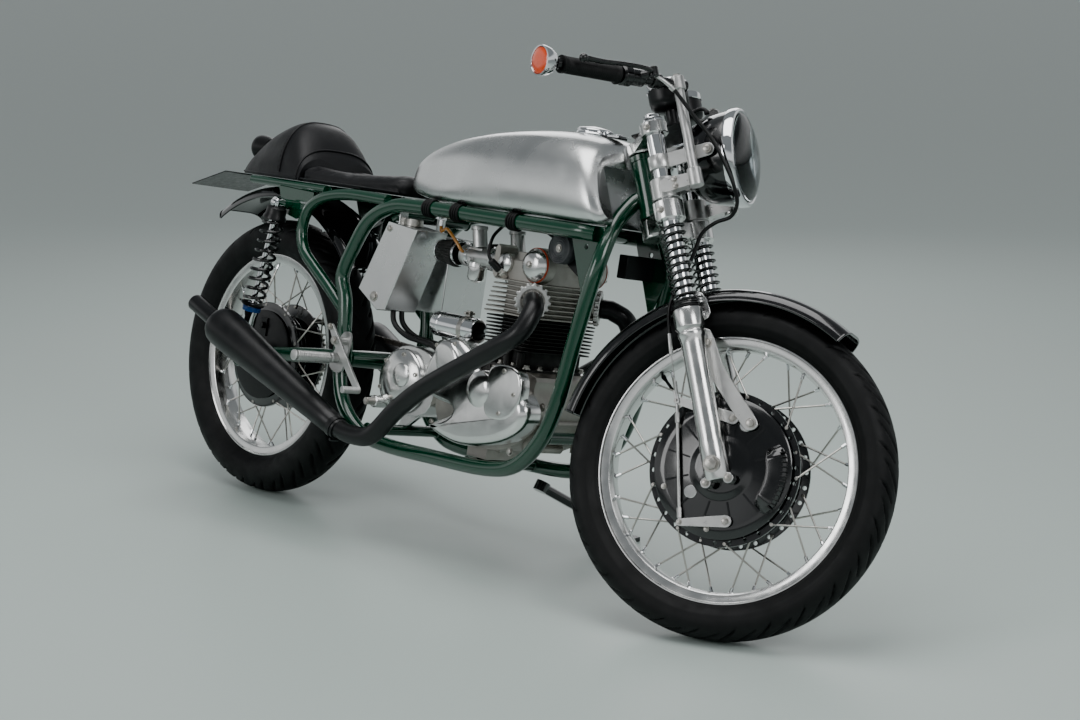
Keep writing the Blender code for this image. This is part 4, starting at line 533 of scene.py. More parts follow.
# Wheels: flanged alloy rims, crossed spokes with nipples, full width black hubs
wheels = {"front": {"rim": 0.256, "half": 0.03, "flange": 0.148, "flangeHalf": 0.04, "body": "front_wheel",
    "node": "front_wheel"}, "rear": {"rim": 0.2425, "half": 0.034, "flange": 0.125, "flangeHalf": 0.038,
    "body": "rear_wheel", "node": "rear_wheel"}}
sideways = Matrix.Rotation(-pi / 2, 4, "X")


def makeRim(name, size):
    half, rim = size["half"], size["rim"]
    bright = [(rim - 0.012, half - 0.0045), (rim - 0.001, half - 0.004), (rim + 0.0008, half - 0.0022),
        (rim, half - 0.0004), (rim - 0.002, half), (rim - 0.0045, half - 0.0002), (rim - 0.006, half - 0.0024),
        (rim - 0.019, half - 0.003), (rim - 0.0212, half - 0.0044), (rim - 0.022, half - 0.008),
        (rim - 0.0236, half * 0.56), (rim - 0.0252, half * 0.4), (rim - 0.0256, half * 0.2)]
    profile = bright + [(r, -y) for r, y in bright[::-1]]
    makePiece(name + "Rim", [lathe(profile, sideways, 144, True)], "polishedAlloy", size["body"],
        replaces=[size["node"]], angle=30)
    wires, nipples = [], []
    count = 18
    pitch = tau / count
    for side in (-1, 1):
        for k in range(count):
            hubAngle = pitch * (k + (side > 0) / 2)
            rimAngle = hubAngle + (pitch if k % 2 else -pitch)
            flange = size["flange"] - 0.006
            lift = side * (size["flangeHalf"] - 0.003 + (0.0035 if k % 2 else -0.0035) * side * side)
            low = Vector((flange * cos(hubAngle), lift, flange * sin(hubAngle)))
            wide = rim - 0.0245
            high = Vector((wide * cos(rimAngle), side * half * 0.2, wide * sin(rimAngle)))
            line = (high - low).normalized()
            wires.append(tube([low - line * 0.004, high], 0.0019, 8))
            wires.append(rod(low - Vector((0, 0.004, 0)), low + Vector((0, 0.004, 0)), 0.0036, 10))
            nipples.append(lathe([(0.0023, 0), (0.0034, 0.001), (0.0034, 0.011), (0.0048, 0.012), (0.005, 0.0145)],
                aimed(high - line * 0.012, high + line), 8))
    makePiece(name + "Spokes", wires, "zincSteel", size["body"])
    makePiece(name + "Nipples", nipples, "chrome", size["body"])
    stem = Vector((cos(2.0), 0, sin(2.0)))
    makePiece(name + "Valve", [rod(stem * (rim - 0.024), stem * (rim - 0.058), 0.003, 12),
        rod(stem * (rim - 0.024), stem * (rim - 0.034), 0.0052, 12, 0.0036)], "gripRubber", size["body"])


for name, size in wheels.items():
    makeRim(name, size)

frontHub = {"holes": 30, "holeRadius": 0.0042, "ring": 0.1405}
hubProfile = [(0.0096, -0.04), (0.147, -0.04), (0.148, -0.039), (0.148, -0.035), (0.147, -0.034), (0.132, -0.031),
    (0.128, -0.028)]
for k in range(5):
    y = -0.024 + 0.012 * k
    hubProfile += [(0.128, y - 0.0034), (0.135, y - 0.0018), (0.135, y + 0.0018), (0.128, y + 0.0034)]
hubProfile += [(0.128, 0.028), (0.132, 0.031), (0.147, 0.034), (0.148, 0.035), (0.148, 0.039), (0.147, 0.04),
    (0.118, 0.042), (0.114, 0.046), (0.095, 0.048), (0.06, 0.05), (0.05, 0.055), (0.022, 0.056), (0.019, 0.058),
    (0.019, 0.0684), (0.0096, 0.0684)]
holes = []
for k in range(frontHub["holes"]):
    spot = around(frontHub["ring"], tau * k / frontHub["holes"])
    for side in (-1, 1):
        holes.append(rod((spot[0], side * 0.03, spot[1]), (spot[0], side * 0.044, spot[1]), frontHub["holeRadius"],
            10))
makePiece("frontHub", [lathe(hubProfile, sideways, 96, True)], "blackEnamel", "front_wheel", angle=30, cut=holes)
coverScrews = [screw((0.106 * cos(tau * k / 10), 0.0445, 0.106 * sin(tau * k / 10)), (0, 1, 0), 0.004,
    0.003) for k in range(10)]
makePiece("frontHubScrews", coverScrews, "zincSteel", "front_wheel")

rearProfile = [(0.0096, -0.0899), (0.022, -0.0899), (0.024, -0.088), (0.024, -0.06), (0.034, -0.05), (0.052, -0.0475),
    (0.092, -0.046), (0.112, -0.043), (0.118, -0.041), (0.124, -0.041), (0.125, -0.04), (0.125, -0.033),
    (0.124, -0.032), (0.1, -0.028), (0.095, -0.025)]
for k in range(4):
    y = -0.018 + 0.012 * k
    rearProfile += [(0.095, y - 0.0034), (0.101, y - 0.0018), (0.101, y + 0.0018), (0.095, y + 0.0034)]
rearProfile += [(0.095, 0.025), (0.1, 0.028), (0.124, 0.032), (0.125, 0.033), (0.125, 0.037), (0.124, 0.038),
    (0.06, 0.043), (0.05, 0.046), (0.048, 0.066), (0.026, 0.074), (0.024, 0.076), (0.024, 0.0899), (0.0096, 0.0899)]
makePiece("rearHub", [lathe(rearProfile, sideways, 72, True)], "blackEnamel", "rear_wheel", angle=30)
rearPlate = [(0.03, 0), (0.104, 0.0), (0.106, 0.001), (0.106, 0.004), (0.1, 0.0055), (0.05, 0.006), (0.034, 0.0075)]
makePiece("rearBrakePlate", [lathe(rearPlate, shifted(0, -0.0465, 0) @ Matrix.Rotation(pi / 2, 4, "X"), 64),
    box((-0.012, -0.056, 0.045), (0.012, -0.05, 0.088)), rod((0.0, -0.05, 0.07), (0.0, -0.064, 0.07), 0.0075, 16)],
    "moulding", "rear_wheel", bevel=0.001)
sprocket = {"teeth": 46, "outer": 0.0945, "root": 0.0895, "half": 0.0028, "y": 0.07, "holes": 8}


def toothed(count, root, outer, centre=(0, 0)):
    outline = []
    for k in range(count):
        for share, radius in ((0.0, root), (0.22, root), (0.4, outer), (0.6, outer), (0.82, root)):
            outline.append(around(radius, tau * (k + share) / count, centre))
    return outline


teeth = toothed(sprocket["teeth"], sprocket["root"], sprocket["outer"])
sprocketHoles = []
for k in range(sprocket["holes"]):
    angle = tau * k / sprocket["holes"]
    spot = Vector((0.067 * cos(angle), 0, 0.067 * sin(angle)))
    sprocketHoles.append(rod(spot + Vector((0, 0.06, 0)), spot + Vector((0, 0.08, 0)), 0.012, 20))
makePiece("rearSprocket", [slab(teeth, sprocket["y"] - sprocket["half"], sprocket["y"] + sprocket["half"])],
    "zincSteel", "rear_wheel", bevel=0.0004, cut=sprocketHoles)
print("wheels made")

# Frame: two loops of tube from the head round under the engine, with gussets and cross tubes
frameSize = {"rear": 0.354, "length": 0.774, "bottom": 0.209, "height": 0.519, "half": 0.12, "tube": 0.016}
headSize = {"radius": 0.026, "low": 0.8535, "high": 0.9845}
loopShares = ((0.96, 0.998, 0.83), (0.9, 1.000, 0.97), (0.62, 1.000, 1.00), (0.31, 1.000, 1.00), (0.183, 0.985, 1.00),
    (0.085, 0.911, 1.00), (0.025, 0.765, 1.00), (0.000, 0.655, 1.00), (0.028, 0.56, 1.00), (0.046, 0.4, 1.00),
    (0.048, 0.26, 1.00), (0.09, 0.118, 1.00), (0.176, 0.025, 0.97), (0.283, 0.000, 0.92), (0.481, 0.006, 0.92),
    (0.7, 0.021, 0.92), (0.815, 0.069, 0.92), (0.893, 0.195, 0.92), (0.93, 0.345, 0.92), (0.955, 0.565, 0.92),
    (0.983, 0.775, 0.92), (0.996, 0.89, 0.88), (0.99, 0.99, 0.7), (0.977, 1.06, 0.46), (0.978, 1.125, 0.2),
    (0.986, 1.155, 0.06))


def loopPlace(along, up, out=0):
    return Vector((frameSize["rear"] + frameSize["length"] * along, frameSize["half"] * out,
        frameSize["bottom"] + frameSize["height"] * up))


def headPlace(x, y, z):
    return Vector((wheelbase + trail + x * cos(rake) - z * sin(rake), y, x * sin(rake) + z * cos(rake)))


loop = tube(curveThrough([loopPlace(*row) for row in loopShares], 5), frameSize["tube"], 24)
frameParts = [loop, flipped(loop), rod(headPlace(0, 0, headSize["low"]), headPlace(0, 0, headSize["high"]),
    headSize["radius"], 40)]
for z in (headSize["low"], headSize["high"] - 0.012):
    frameParts.append(rod(headPlace(0, 0, z), headPlace(0, 0, z + 0.012), headSize["radius"] + 0.002, 40))
for along, up, out in ((0.172, 0.95, 1.0), (0.46, 1.0, 1.0), (0.815, 1.0, 0.98), (0.176, 0.04, 0.97),
        (0.6, 0.015, 0.92), (0.888, 0.195, 0.92)):
    spot = loopPlace(along, up)
    reach = Vector((0, frameSize["half"] * out - 0.012, 0))
    frameParts.append(rod(spot - reach, spot + reach, 0.0125, 20))
    for side in (-1, 1):
        frameParts.append(hoop(spot + reach * side * 0.965, (0, 1, 0), 0.0125, 0.0022, 24))
makePiece("frameLoops", frameParts, "greenEnamel", replaces=["frame"])
gussetHoles = []
for x, z in ((1.207, 0.703), (1.19, 0.668), (1.075, 0.7)):
    gussetHoles.append(rod((x, -0.2, z), (x, 0.2, z), 0.0048, 14))
gussets = []
for name, side in sides:
    outline = [tuple(loopPlace(*share).xz) for share in ((0.87, 0.985), (0.955, 0.7), (1.0, 0.86), (0.985, 1.03),
        (0.87, 1.02))]
    gussets.append(slab(outline, side * 0.092, side * 0.096))
    plate = ((0.364, 0.338), (0.422, 0.338), (0.422, 0.406), (0.394, 0.457), (0.364, 0.457))
    gussets.append(slab(smoothOutline(plate, 2), side * 0.1175, side * 0.1225))
makePiece("framePlates", gussets, "greenEnamel", bevel=0.0012, cut=gussetHoles)
pivotBolts = []
for name, side in sides:
    for x, z, radius in ((0.394, 0.372, 0.012), (0.378, 0.448, 0.007), (0.4, 0.42, 0.006)):
        pivotBolts.append(bolt((x, side * 0.1228, z), (0, side, 0), radius, 0.008))
    for x, z in ((0.994, 0.365), (0.972, 0.345)):
        pivotBolts.append(bolt((x, side * 0.0705, z), (0, side, 0), 0.0065, 0.006))
makePiece("frameBolts", pivotBolts, "zincSteel")
dressNode("side_stand", "blackEnamel", "side_stand")

# Rear loops, seat rails and damper plates
rearShares = ((0.00, 0.00), (0.45, 0.00), (0.74, 0.06), (0.9, 0.18), (0.94, 0.36), (0.88, 0.52), (0.72, 0.65),
    (0.55, 0.77), (0.42, 0.87), (0.3, 0.96))
seatBottom = frameSize["bottom"] + frameSize["height"] + frameSize["tube"] + 0.0003
damper = {"top": (0.118, 0.688), "foot": (0.055, 0.352), "half": 0.148}
rearParts = []
for name, side in sides:
    top = seatBottom - 0.0133
    route = [Vector((0.475 - 0.31 * along, side * 0.12, top - 0.27 * down)) for along, down in rearShares]
    rearParts.append(tube(curveThrough(route, 6), 0.013, 22))
    rearParts.append(rod((0.245, side * 0.1135, seatBottom - 0.0103), (-0.06, side * 0.1, seatBottom - 0.0103), 0.01,
        20))
    plate = [(damper["top"][0] + x, damper["top"][1] + z) for x, z in ((-0.05, 0.04), (0.085, 0.036), (0.085, -0.004),
        (0.03, -0.03), (-0.02, -0.02))]
    rearParts.append(slab(plate, side * 0.1115, side * 0.1165))
    rearParts.append(rod((damper["top"][0], side * 0.114, damper["top"][1]),
        (damper["top"][0], side * 0.1407, damper["top"][1]), 0.0112, 20))
for x, half in ((-0.05, 0.1), (0.245, 0.107)):
    rearParts.append(rod((x, -half, seatBottom - 0.0103), (x, half, seatBottom - 0.0103), 0.009, 20))
makePiece("rearLoops", rearParts, "greenEnamel", replaces=["subframe"], bevel=0.0008)

armParts = [rod((0.394, -0.1037, 0.372), (0.394, 0.1037, 0.372), 0.02, 32)]
for name, side in sides:
    route = curveThrough([(0.394, side * 0.08, 0.372), (0.244, side * 0.094, 0.357), (0.016, side * 0.108, 0.325)],
        10)
    armParts.append(tube(route, 0.0172, 24))
    armParts.append(rod((0, side * 0.0905, 0.325), (0, side * 0.1167, 0.325), 0.032, 36, edge=0.002))
    armParts.append(rod((0.055, side * 0.108, 0.352), (0.055, side * 0.1407, 0.352), 0.011, 20))
makePiece("swingArm", armParts, "greenEnamel", replaces=["swingarm"])
axleParts = [rod((0, -0.118, 0.325), (0, 0.118, 0.325), 0.009, 24)]
for name, side in sides:
    axleParts.append(bolt((0, side * 0.117, 0.325), (0, side, 0), 0.0145, 0.012))
    axleParts.append(rod((0, side * 0.128, 0.325), (0, side * 0.138, 0.325), 0.008, 20))
    axleParts.append(rod((0.028, side * 0.112, 0.325), (0.05, side * 0.112, 0.325), 0.004, 12))
makePiece("rearAxleNuts", axleParts, "zincSteel", replaces=["rear_axle"])

# Rear dampers: chromed body below, black spring, blue band and a black shroud
damperLength = math.dist(damper["top"], damper["foot"])
for name, side in sides:
    low = Vector((damper["foot"][0], side * damper["half"], damper["foot"][1]))
    high = Vector((damper["top"][0], side * damper["half"], damper["top"][1]))
    line = (high - low).normalized()
    place = aimed(low, high)
    body = lathe([(0.006, 0.008), (0.015, 0.014), (0.017, 0.018), (0.017, 0.07), (0.018, 0.072), (0.018, 0.1),
        (0.012, 0.104), (0.0065, 0.106), (0.0065, damperLength * 0.9)], place, 32)
    eyes = []
    for end in (low, high):
        eyes.append(rod(end - Vector((0, 0.0105, 0)), end + Vector((0, 0.0105, 0)), 0.0138, 28))
        eyes.append(bolt(end + Vector((0, side * 0.0105, 0)), (0, side, 0), 0.008, 0.007))
    makePiece("damperBody" + name, [body] + eyes, "chrome", replaces=["damper_" + name.lower()])
    start = low + line * damperLength * 0.3
    end = low + line * damperLength * 0.895
    makePiece("damperSpring" + name, [coil(start, end, 0.0235, 0.0038, 9.0)], "springBlack")
    seats = [lathe([(0.01, -0.002), (0.026, -0.002), (0.0275, 0.000), (0.0275, 0.003), (0.018, 0.005)],
        aimed(start - line * 0.005, end), 32), lathe([(0.012, 0.0), (0.0275, 0.0), (0.0275, 0.004), (0.024, 0.01),
        (0.0225, 0.026), (0.014, 0.032)], aimed(end - line * 0.002, end + line), 32)]
    makePiece("damperSeats" + name, seats, "moulding")
    makePiece("damperBand" + name, [lathe([(0.019, 0), (0.0215, 0.0005), (0.0215, 0.0115), (0.019, 0.012)],
        aimed(start - line * 0.021, end), 32)], "blueBand")
print("frame made")

# Fuel tank: smooth hand-beaten alloy, hollowed under the front for the steering head
tank = {"rear": 0.5, "length": 0.625, "low": seatBottom, "height": 0.18, "half": 0.142, "dent": 0.055, "capX": 0.955}
tankStations = ((0.000, 0.42, 0.2, 0.36), (0.02, 0.62, 0.1, 0.48), (0.08, 0.76, 0.04, 0.64), (0.22, 0.9, 0.00, 0.8),
    (0.4, 0.98, 0.00, 0.92), (0.6, 1.00, 0.00, 0.99), (0.78, 1.00, 0.00, 1.00), (0.9, 0.99, 0.00, 0.97),
    (0.97, 0.95, 0.02, 0.91), (1.000, 0.84, 0.08, 0.82))
tankShares = ((0.0, 0.0), (0.7, 0.0), (0.93, 0.05), (1.0, 0.22), (0.99, 0.45), (0.9, 0.72), (0.66, 0.92),
    (0.34, 0.99), (0.0, 1.0))


def tankPoint(along, wide, low, high, y, z):
    height = tank["low"] + tank["height"] * (max(low, 0) + (high - max(low, 0)) * z)
    faceX = wheelbase + trail - (0.028 + height * sin(rake)) / cos(rake)
    mix = along ** 3
    x = (tank["rear"] + tank["length"] * along) * (1 - mix) + (tank["rear"] + (faceX - tank["rear"]) * along) * mix
    dent = tank["dent"] * math.exp(-((along - 0.24) / 0.17) ** 2) * math.exp(-((z - 0.42) / 0.28) ** 2)
    return Vector((x, y * tank["half"] * wide * (1 - dent), height))


def tankRow(values):
    half = [(p.x, p.y) for p in curveThrough([(y, z, 0) for y, z in tankShares], 4)]
    full = half + [(-y, z) for y, z in half[-2:0:-1]]
    return [tankPoint(*values, y, max(0, min(1, z))) for y, z in full]


fineStations = []
tableFine = [np.array(row) for row in tankStations]
for k in range(len(tableFine) - 1):
    a, b, c, d = (tableFine[max(0, min(len(tableFine) - 1, k + m))] for m in (-1, 0, 1, 2))
    steps = 4 if k < 3 else 7
    fineStations += [between(a, b, c, d, m / steps) for m in range(steps)]
fineStations.append(tableFine[-1])
notchBack = [wheelbase + trail - (0.078 + z * sin(rake)) / cos(rake) for z in (tank["low"] - 0.01, 0.862)]
notch = [slab(((notchBack[0], tank["low"] - 0.01), (wheelbase, tank["low"] - 0.01), (wheelbase, 0.862),
    (notchBack[1], 0.862)), -0.09, 0.09), rod(headPlace(0, 0, headSize["low"] - 0.05), headPlace(0, 0, 1.5), 0.037,
    40)]
makePiece("tankShell", [rings([tankRow(row) for row in fineStations])], "tankAlloy", replaces=["fuel_tank"], angle=32,
    cut=notch)
topX = [tank["rear"] + tank["length"] * row[0] for row in fineStations]
topZ = [tank["low"] + tank["height"] * row[3] for row in fineStations]


def tankTop(x):
    return float(np.interp(x, topX, topZ))


strapRows = []
for x in np.linspace(0.53, 1.035, 30):
    z = tankTop(x)
    strapRows.append([Vector((x, y, z + lift - (abs(y) / 0.016) * 0.0003)) for y,
        lift in ((-0.0145, -0.001), (-0.0145, 0.0022), (-0.0125, 0.003), (0, 0.0033), (0.0125, 0.003),
        (0.0145, 0.0022), (0.0145, -0.001))])
makePiece("tankStrap", [rings(strapRows)], "seatLeather", bevel=0.0004)
buckleX, buckleZ = 1.03, tankTop(1.03)
makePiece("tankBuckle", [box((buckleX - 0.02, -0.0185, buckleZ + 0.0015), (buckleX + 0.012, 0.0185, buckleZ + 0.005)),
    rod((buckleX - 0.004, -0.01, buckleZ + 0.006), (buckleX - 0.004, 0.01, buckleZ + 0.006), 0.003, 12),
    screw((buckleX - 0.014, 0, buckleZ + 0.005), (0, 0, 1), 0.004)], "chrome", bevel=0.0008)
capZ = tank["low"] + tank["height"] + 0.0003
capParts = [lathe([(0.038, -0.004), (0.0385, 0.002), (0.036, 0.0045), (0.0355, 0.01), (0.0335, 0.0125),
    (0.028, 0.014), (0.012, 0.0172), (0, 0.0178)], shifted(tank["capX"], 0, capZ), 64),
    box((tank["capX"] - 0.044, -0.007, capZ), (tank["capX"] - 0.03, 0.007, capZ + 0.012)),
    rod((tank["capX"] - 0.04, -0.01, capZ + 0.009), (tank["capX"] - 0.04, 0.01, capZ + 0.009), 0.0032, 16),
    box((tank["capX"] + 0.028, -0.006, capZ + 0.006), (tank["capX"] + 0.046, 0.006, capZ + 0.01))]
makePiece("fillerCap", capParts, "chrome", replaces=["filler_cap"], bevel=0.0008)
bandParts = []
for x in (0.622, 0.713, 0.888):
    for k in range(4):
        at = loopPlace((x + 0.0065 * (k - 1.5) - frameSize["rear"]) / frameSize["length"], 1.0, -1.0)
        bandParts.append(hoop(at, (1, 0.03 * (k - 1.5), 0), 0.0175, 0.0027, 28))
makePiece("railBands", bandParts, "gripRubber")
print("tank made")

# Seat: padded cushion blown up by cloth, and the hump with its piped arch
seat = {"front": 0.4997, "rear": 0.135, "half": 0.118, "height": 0.046, "humpTop": 0.885, "tail": -0.2,
    "voxel": 0.0055, "pressure": 3.5, "swell": 0.006}
cushionTable = ((0.0, 0.93, 0.84), (0.12, 0.97, 0.7), (0.45, 0.97, 0.64), (0.8, 0.91, 0.8), (0.95, 0.8, 0.9),
    (1.0, 0.66, 0.62))
cushionRows = []
for row in curveThrough(cushionTable, 5):
    along, wide, high = min(1, row.x), row.y, row.z
    ring = []
    for p in curveThrough([(-0.96, 0.06, 0), (-0.9, 0, 0), (0.9, 0, 0), (0.96, 0.06, 0), (1, 0.42, 0), (0.93, 0.8, 0),
            (0.66, 0.96, 0), (0.3, 0.9, 0), (0, 0.88, 0), (-0.3, 0.9, 0), (-0.66, 0.96, 0), (-0.93, 0.8, 0),
            (-1, 0.42, 0)], 3, True):
        ring.append(Vector((seat["rear"] + 0.003 + (seat["front"] - seat["rear"] - 0.01) * along,
            seat["half"] * wide * p.x, seatBottom + 0.0006 + seat["height"] * high * max(0, p.y))))
    cushionRows.append(ring)
cushion = makePiece("seatCushion", [rings(cushionRows)], "seatLeather", replaces=["seat_cushion"], angle=80,
    subdivide=1)


def swell(piece, voxel, pressure, most):
    piece.modifiers.clear()
    shell = piece.modifiers.new("even", "REMESH")
    shell.mode, shell.voxel_size = "VOXEL", voxel
    bakeModifiers(piece)
    still = [v.co.copy() for v in piece.data.vertices]
    cloth = piece.modifiers.new("cloth", "CLOTH")
    cloth.settings.use_pressure = True
    cloth.settings.uniform_pressure_force = pressure
    cloth.settings.effector_weights.gravity = 0
    cloth.settings.quality = 6
    cloth.settings.tension_stiffness = cloth.settings.compression_stiffness = 25
    cloth.point_cache.frame_start, cloth.point_cache.frame_end = 1, 20
    scene = bpy.context.scene
    for number in range(1, 21):
        scene.frame_set(number)
    bakeModifiers(piece)
    for point, start in zip(piece.data.vertices, still):
        change = point.co - start
        if change.length > most:
            point.co = start + change.normalized() * most
        floorLine = (point.co - bikePlace.translation).dot(bikeZ) - seatBottom
        if floorLine < 0.0006:
            point.co += bikeZ * (0.0006 - floorLine)
    scene.frame_set(1)


swell(cushion, seat["voxel"], seat["pressure"], seat["swell"])
cushion.data.materials.clear()
cushion.data.materials.append(materials["seatLeather"])
cushion.data.shade_smooth()
smoothing = cushion.modifiers.new("soft", "SUBSURF")
smoothing.levels = smoothing.render_levels = 1
humpTable = ((0.0, 0.97, 0.44), (0.1, 0.97, 0.78), (0.2, 0.955, 0.97), (0.32, 0.915, 0.99), (0.55, 0.8, 0.78),
    (0.8, 0.56, 0.42), (0.97, 0.3, 0.17), (1.0, 0.2, 0.08))
humpRows = []
for row in curveThrough(humpTable, 6):
    ring = []
    for k in range(33):
        angle = pi * k / 32
        flat = math.copysign(abs(cos(angle)) ** 0.72, cos(angle))
        ring.append(Vector((seat["rear"] - 0.0004 + (seat["tail"] - seat["rear"]) * min(1, row.x),
            seat["half"] * row.y * flat,
            seatBottom + 0.0006 + (seat["humpTop"] - seatBottom) * row.z * sin(angle) ** 0.8)))
    humpRows.append(ring)
hump = makePiece("seatHump", [rings(humpRows)], "seatLeather", replaces=["seat_hump"], bevel=0.003, angle=50)


def humpArch(row, lift, half=1.0):
    route = []
    for k in range(37):
        angle = pi * (0.02 + 0.96 * k / 36)
        flat = math.copysign(abs(cos(angle)) ** 0.72, cos(angle))
        route.append(Vector((seat["rear"] + (seat["tail"] - seat["rear"]) * row[0],
            (seat["half"] * row[1] + lift) * flat * half,
            seatBottom + ((seat["humpTop"] - seatBottom) * row[2] + lift) * sin(angle) ** 0.8)))
    return route


piping = [tube(humpArch((0.245, 0.948, 0.995), 0.0012), 0.0026, 10), tube(humpArch((0.035, 0.97, 0.57), 0.0008),
    0.0024, 10)]
hem = []
for side in (-1, 1):
    hem.append(tube(curveThrough([(seat["rear"] + (seat["tail"] - seat["rear"]) * a,
        side * (seat["half"] * w + 0.001), seatBottom + 0.006) for a, w in ((0.02, 0.97), (0.2, 0.955), (0.4, 0.88),
        (0.6, 0.76), (0.8, 0.56), (0.96, 0.32))], 4), 0.0022, 8))
    hem.append(tube(curveThrough([(seat["rear"] + (seat["front"] - seat["rear"]) * a, side * (seat["half"] * w),
        seatBottom + 0.007) for a, w in ((0.02, 0.97), (0.2, 1.0), (0.5, 1.0), (0.8, 0.945), (0.95, 0.84))], 4),
        0.0022, 8))
makePiece("seatPiping", piping + hem, "seatLeather")
stitchLine = humpArch((0.262, 0.95, 0.99), 0.0008)
stitches = [tube([a, a + (ahead - a) * 0.55], 0.0007, 5) for a, ahead in zip(stitchLine[1:36], stitchLine[2:37])]
makePiece("seatStitches", stitches, "gripRubber")
print("seat made")

# Engine: crankcase, finned barrel and head, rocker covers, timing and primary covers, gearbox
engine = {"rear": 0.68, "front": 0.985, "low": 0.258, "top": 0.428, "barrelX": 0.88, "barrelTop": 0.535,
    "headTop": 0.612, "barrelFins": 9, "headFins": 8}


def enginePlace(along, up):
    return (engine["rear"] + (engine["front"] - engine["rear"]) * along,
        engine["low"] + (engine["top"] - engine["low"]) * up)


def roundedBlock(centreX, halfX, halfY, corner=0.45, steps=6):
    cut = min(halfX, halfY) * corner
    row = []
    for quarter in range(4):
        for k in range(steps + 1):
            angle = pi / 2 * (quarter + k / steps)
            signX = 1 if quarter in (0, 3) else -1
            signY = 1 if quarter in (0, 1) else -1
            row.append((centreX + signX * (halfX - cut) + cut * cos(angle), signY * (halfY - cut) + cut * sin(angle)))
    return row


caseShares = ((0.0, 0.4), (0.1, 0.1), (0.32, 0.0), (0.7, 0.0), (0.93, 0.22), (1.0, 0.5), (0.97, 0.8), (0.9, 1.0),
    (0.1, 1.0), (0.0, 0.8))
caseOutline = smoothOutline([enginePlace(*share) for share in caseShares], 4)
caseParts = [slab(caseOutline, -0.0835, -0.002), slab(caseOutline, 0.002, 0.0835)]
seam = [(0.8325 + (x - 0.8325) * 1.008, 0.343 + (z - 0.343) * 1.012) for x, z in caseOutline]
caseParts.append(slab(seam, -0.01, 0.01))
for x, z in ((0.7, 0.29), (0.76, 0.262), (0.86, 0.258), (0.94, 0.272), (0.982, 0.33)):
    caseParts.append(rod((x, -0.05, z), (x, 0.05, z), 0.0095, 16))
caseParts.append(rod((0.955, -0.066, 0.3), (0.955, -0.02, 0.3), 0.024, 28, edge=0.003))
for side in (-1, 1):
    caseParts.append(slab(((0.955, 0.2675), (1.0165, 0.3035), (1.0165, 0.316), (0.955, 0.34)), side * 0.064,
        side * 0.07))
caseParts.append(box((0.788, -0.07, 0.2295), (0.848, 0.07, 0.29)))
makePiece("crankCase", caseParts, "castAlloy", replaces=["crankcase"], bevel=0.0022)
caseBolts = [bolt((x, -0.0505, z), (0, -1, 0), 0.006, 0.005) for x, z in ((0.7, 0.29), (0.76, 0.262), (0.86, 0.258),
    (0.94, 0.272), (0.982, 0.33))]
caseBolts += [bolt((0.931, -0.0838, 0.262), (0, -1, 0), 0.0065), bolt((0.951, -0.067, 0.3), (0, -1, 0), 0.0085,
    0.007)]
makePiece("crankCaseBolts", caseBolts, "zincSteel")

barrelParts = [prism(roundedBlock(engine["barrelX"], 0.048, 0.076), 0.4283, 0.5349),
    prism(roundedBlock(engine["barrelX"], 0.064, 0.086, 0.3), 0.4283, 0.4345)]
finFrom = 0.4665
finPitch = (engine["barrelTop"] - finFrom) / engine["barrelFins"]
for k in range(engine["barrelFins"]):
    z = finFrom + finPitch * (k + 0.5)
    grow = 0.96 + 0.04 * k / engine["barrelFins"]
    barrelParts.append(prism(roundedBlock(engine["barrelX"], 0.072 * grow, 0.104 * grow, 0.35, 8), z - 0.0011,
        z + 0.0011))
for x in (0.842, 0.88, 0.918):
    for side in (-1, 1):
        barrelParts.append(rod((x, side * 0.079, 0.433), (x, side * 0.079, 0.4665), 0.0085, 16))
makePiece("barrelFins", barrelParts, "barrelBlack", replaces=["cylinder_barrel"], bevel=0.0005)
baseNuts = []
for side in (-1, 1):
    for x in (0.822, 0.861, 0.899, 0.938):
        baseNuts.append(bolt((x, side * 0.0775, 0.4345), (0, 0, 1), 0.0062, 0.008))
for y in (-0.045, 0.0, 0.045):
    baseNuts.append(bolt((0.9405, y, 0.4345), (0, 0, 1), 0.0062, 0.008))
makePiece("baseNuts", baseNuts, "zincSteel")

headParts = [prism(roundedBlock(engine["barrelX"], 0.05, 0.076), 0.5353, 0.6125)]
headPitch = (engine["headTop"] - 0.5353) / engine["headFins"]
for k in range(engine["headFins"]):
    z = 0.5353 + headPitch * (k + 0.5)
    grow = 1.0 - 0.016 * k
    headParts.append(prism(roundedBlock(engine["barrelX"], 0.078 * grow, 0.108 * grow, 0.35, 8), z - 0.0014,
        z + 0.0014))
portLine = Vector((cos(radians(38)), sin(radians(38)), 0))
ports = {}
for name, side in sides:
    out = Vector((portLine.x, side * portLine.y, 0))
    start = Vector((0.912, side * 0.07, 0.5735)) - out * 0.03
    ports[side] = (start, start + out * 0.078, out)
    headParts.append(rod(start, ports[side][1] - out * 0.001, 0.0285, 32, edge=0.002))
    headParts.append(rod((0.88, side * 0.055, 0.642), (0.7955, side * 0.055, 0.642), 0.0215, 28, edge=0.002))
    headParts.append(slab(smoothOutline(((0.798, 0.615), (0.812, 0.612), (0.812, 0.672), (0.798, 0.669)), 2),
        side * 0.03, side * 0.08))
headParts.append(prism(roundedBlock(engine["barrelX"], 0.06, 0.08, 0.4), 0.609, 0.65))
headParts.append(prism(roundedBlock(engine["barrelX"] + 0.012, 0.046, 0.074, 0.5), 0.645, 0.668))
for side in (-1, 1):
    headParts.append(rod((0.93, side * 0.06, 0.646), (0.93, side * 0.0845, 0.646), 0.0365, 36, edge=0.002))
    headParts.append(rod((0.836, side * 0.052, 0.64), (0.836, side * 0.0835, 0.64), 0.021, 28, edge=0.002))
makePiece("headFins", headParts, "castAlloy", replaces=["cylinder_head"], bevel=0.0006)
coverParts, gaskets, rosettes, headBolts = [], [], [], []
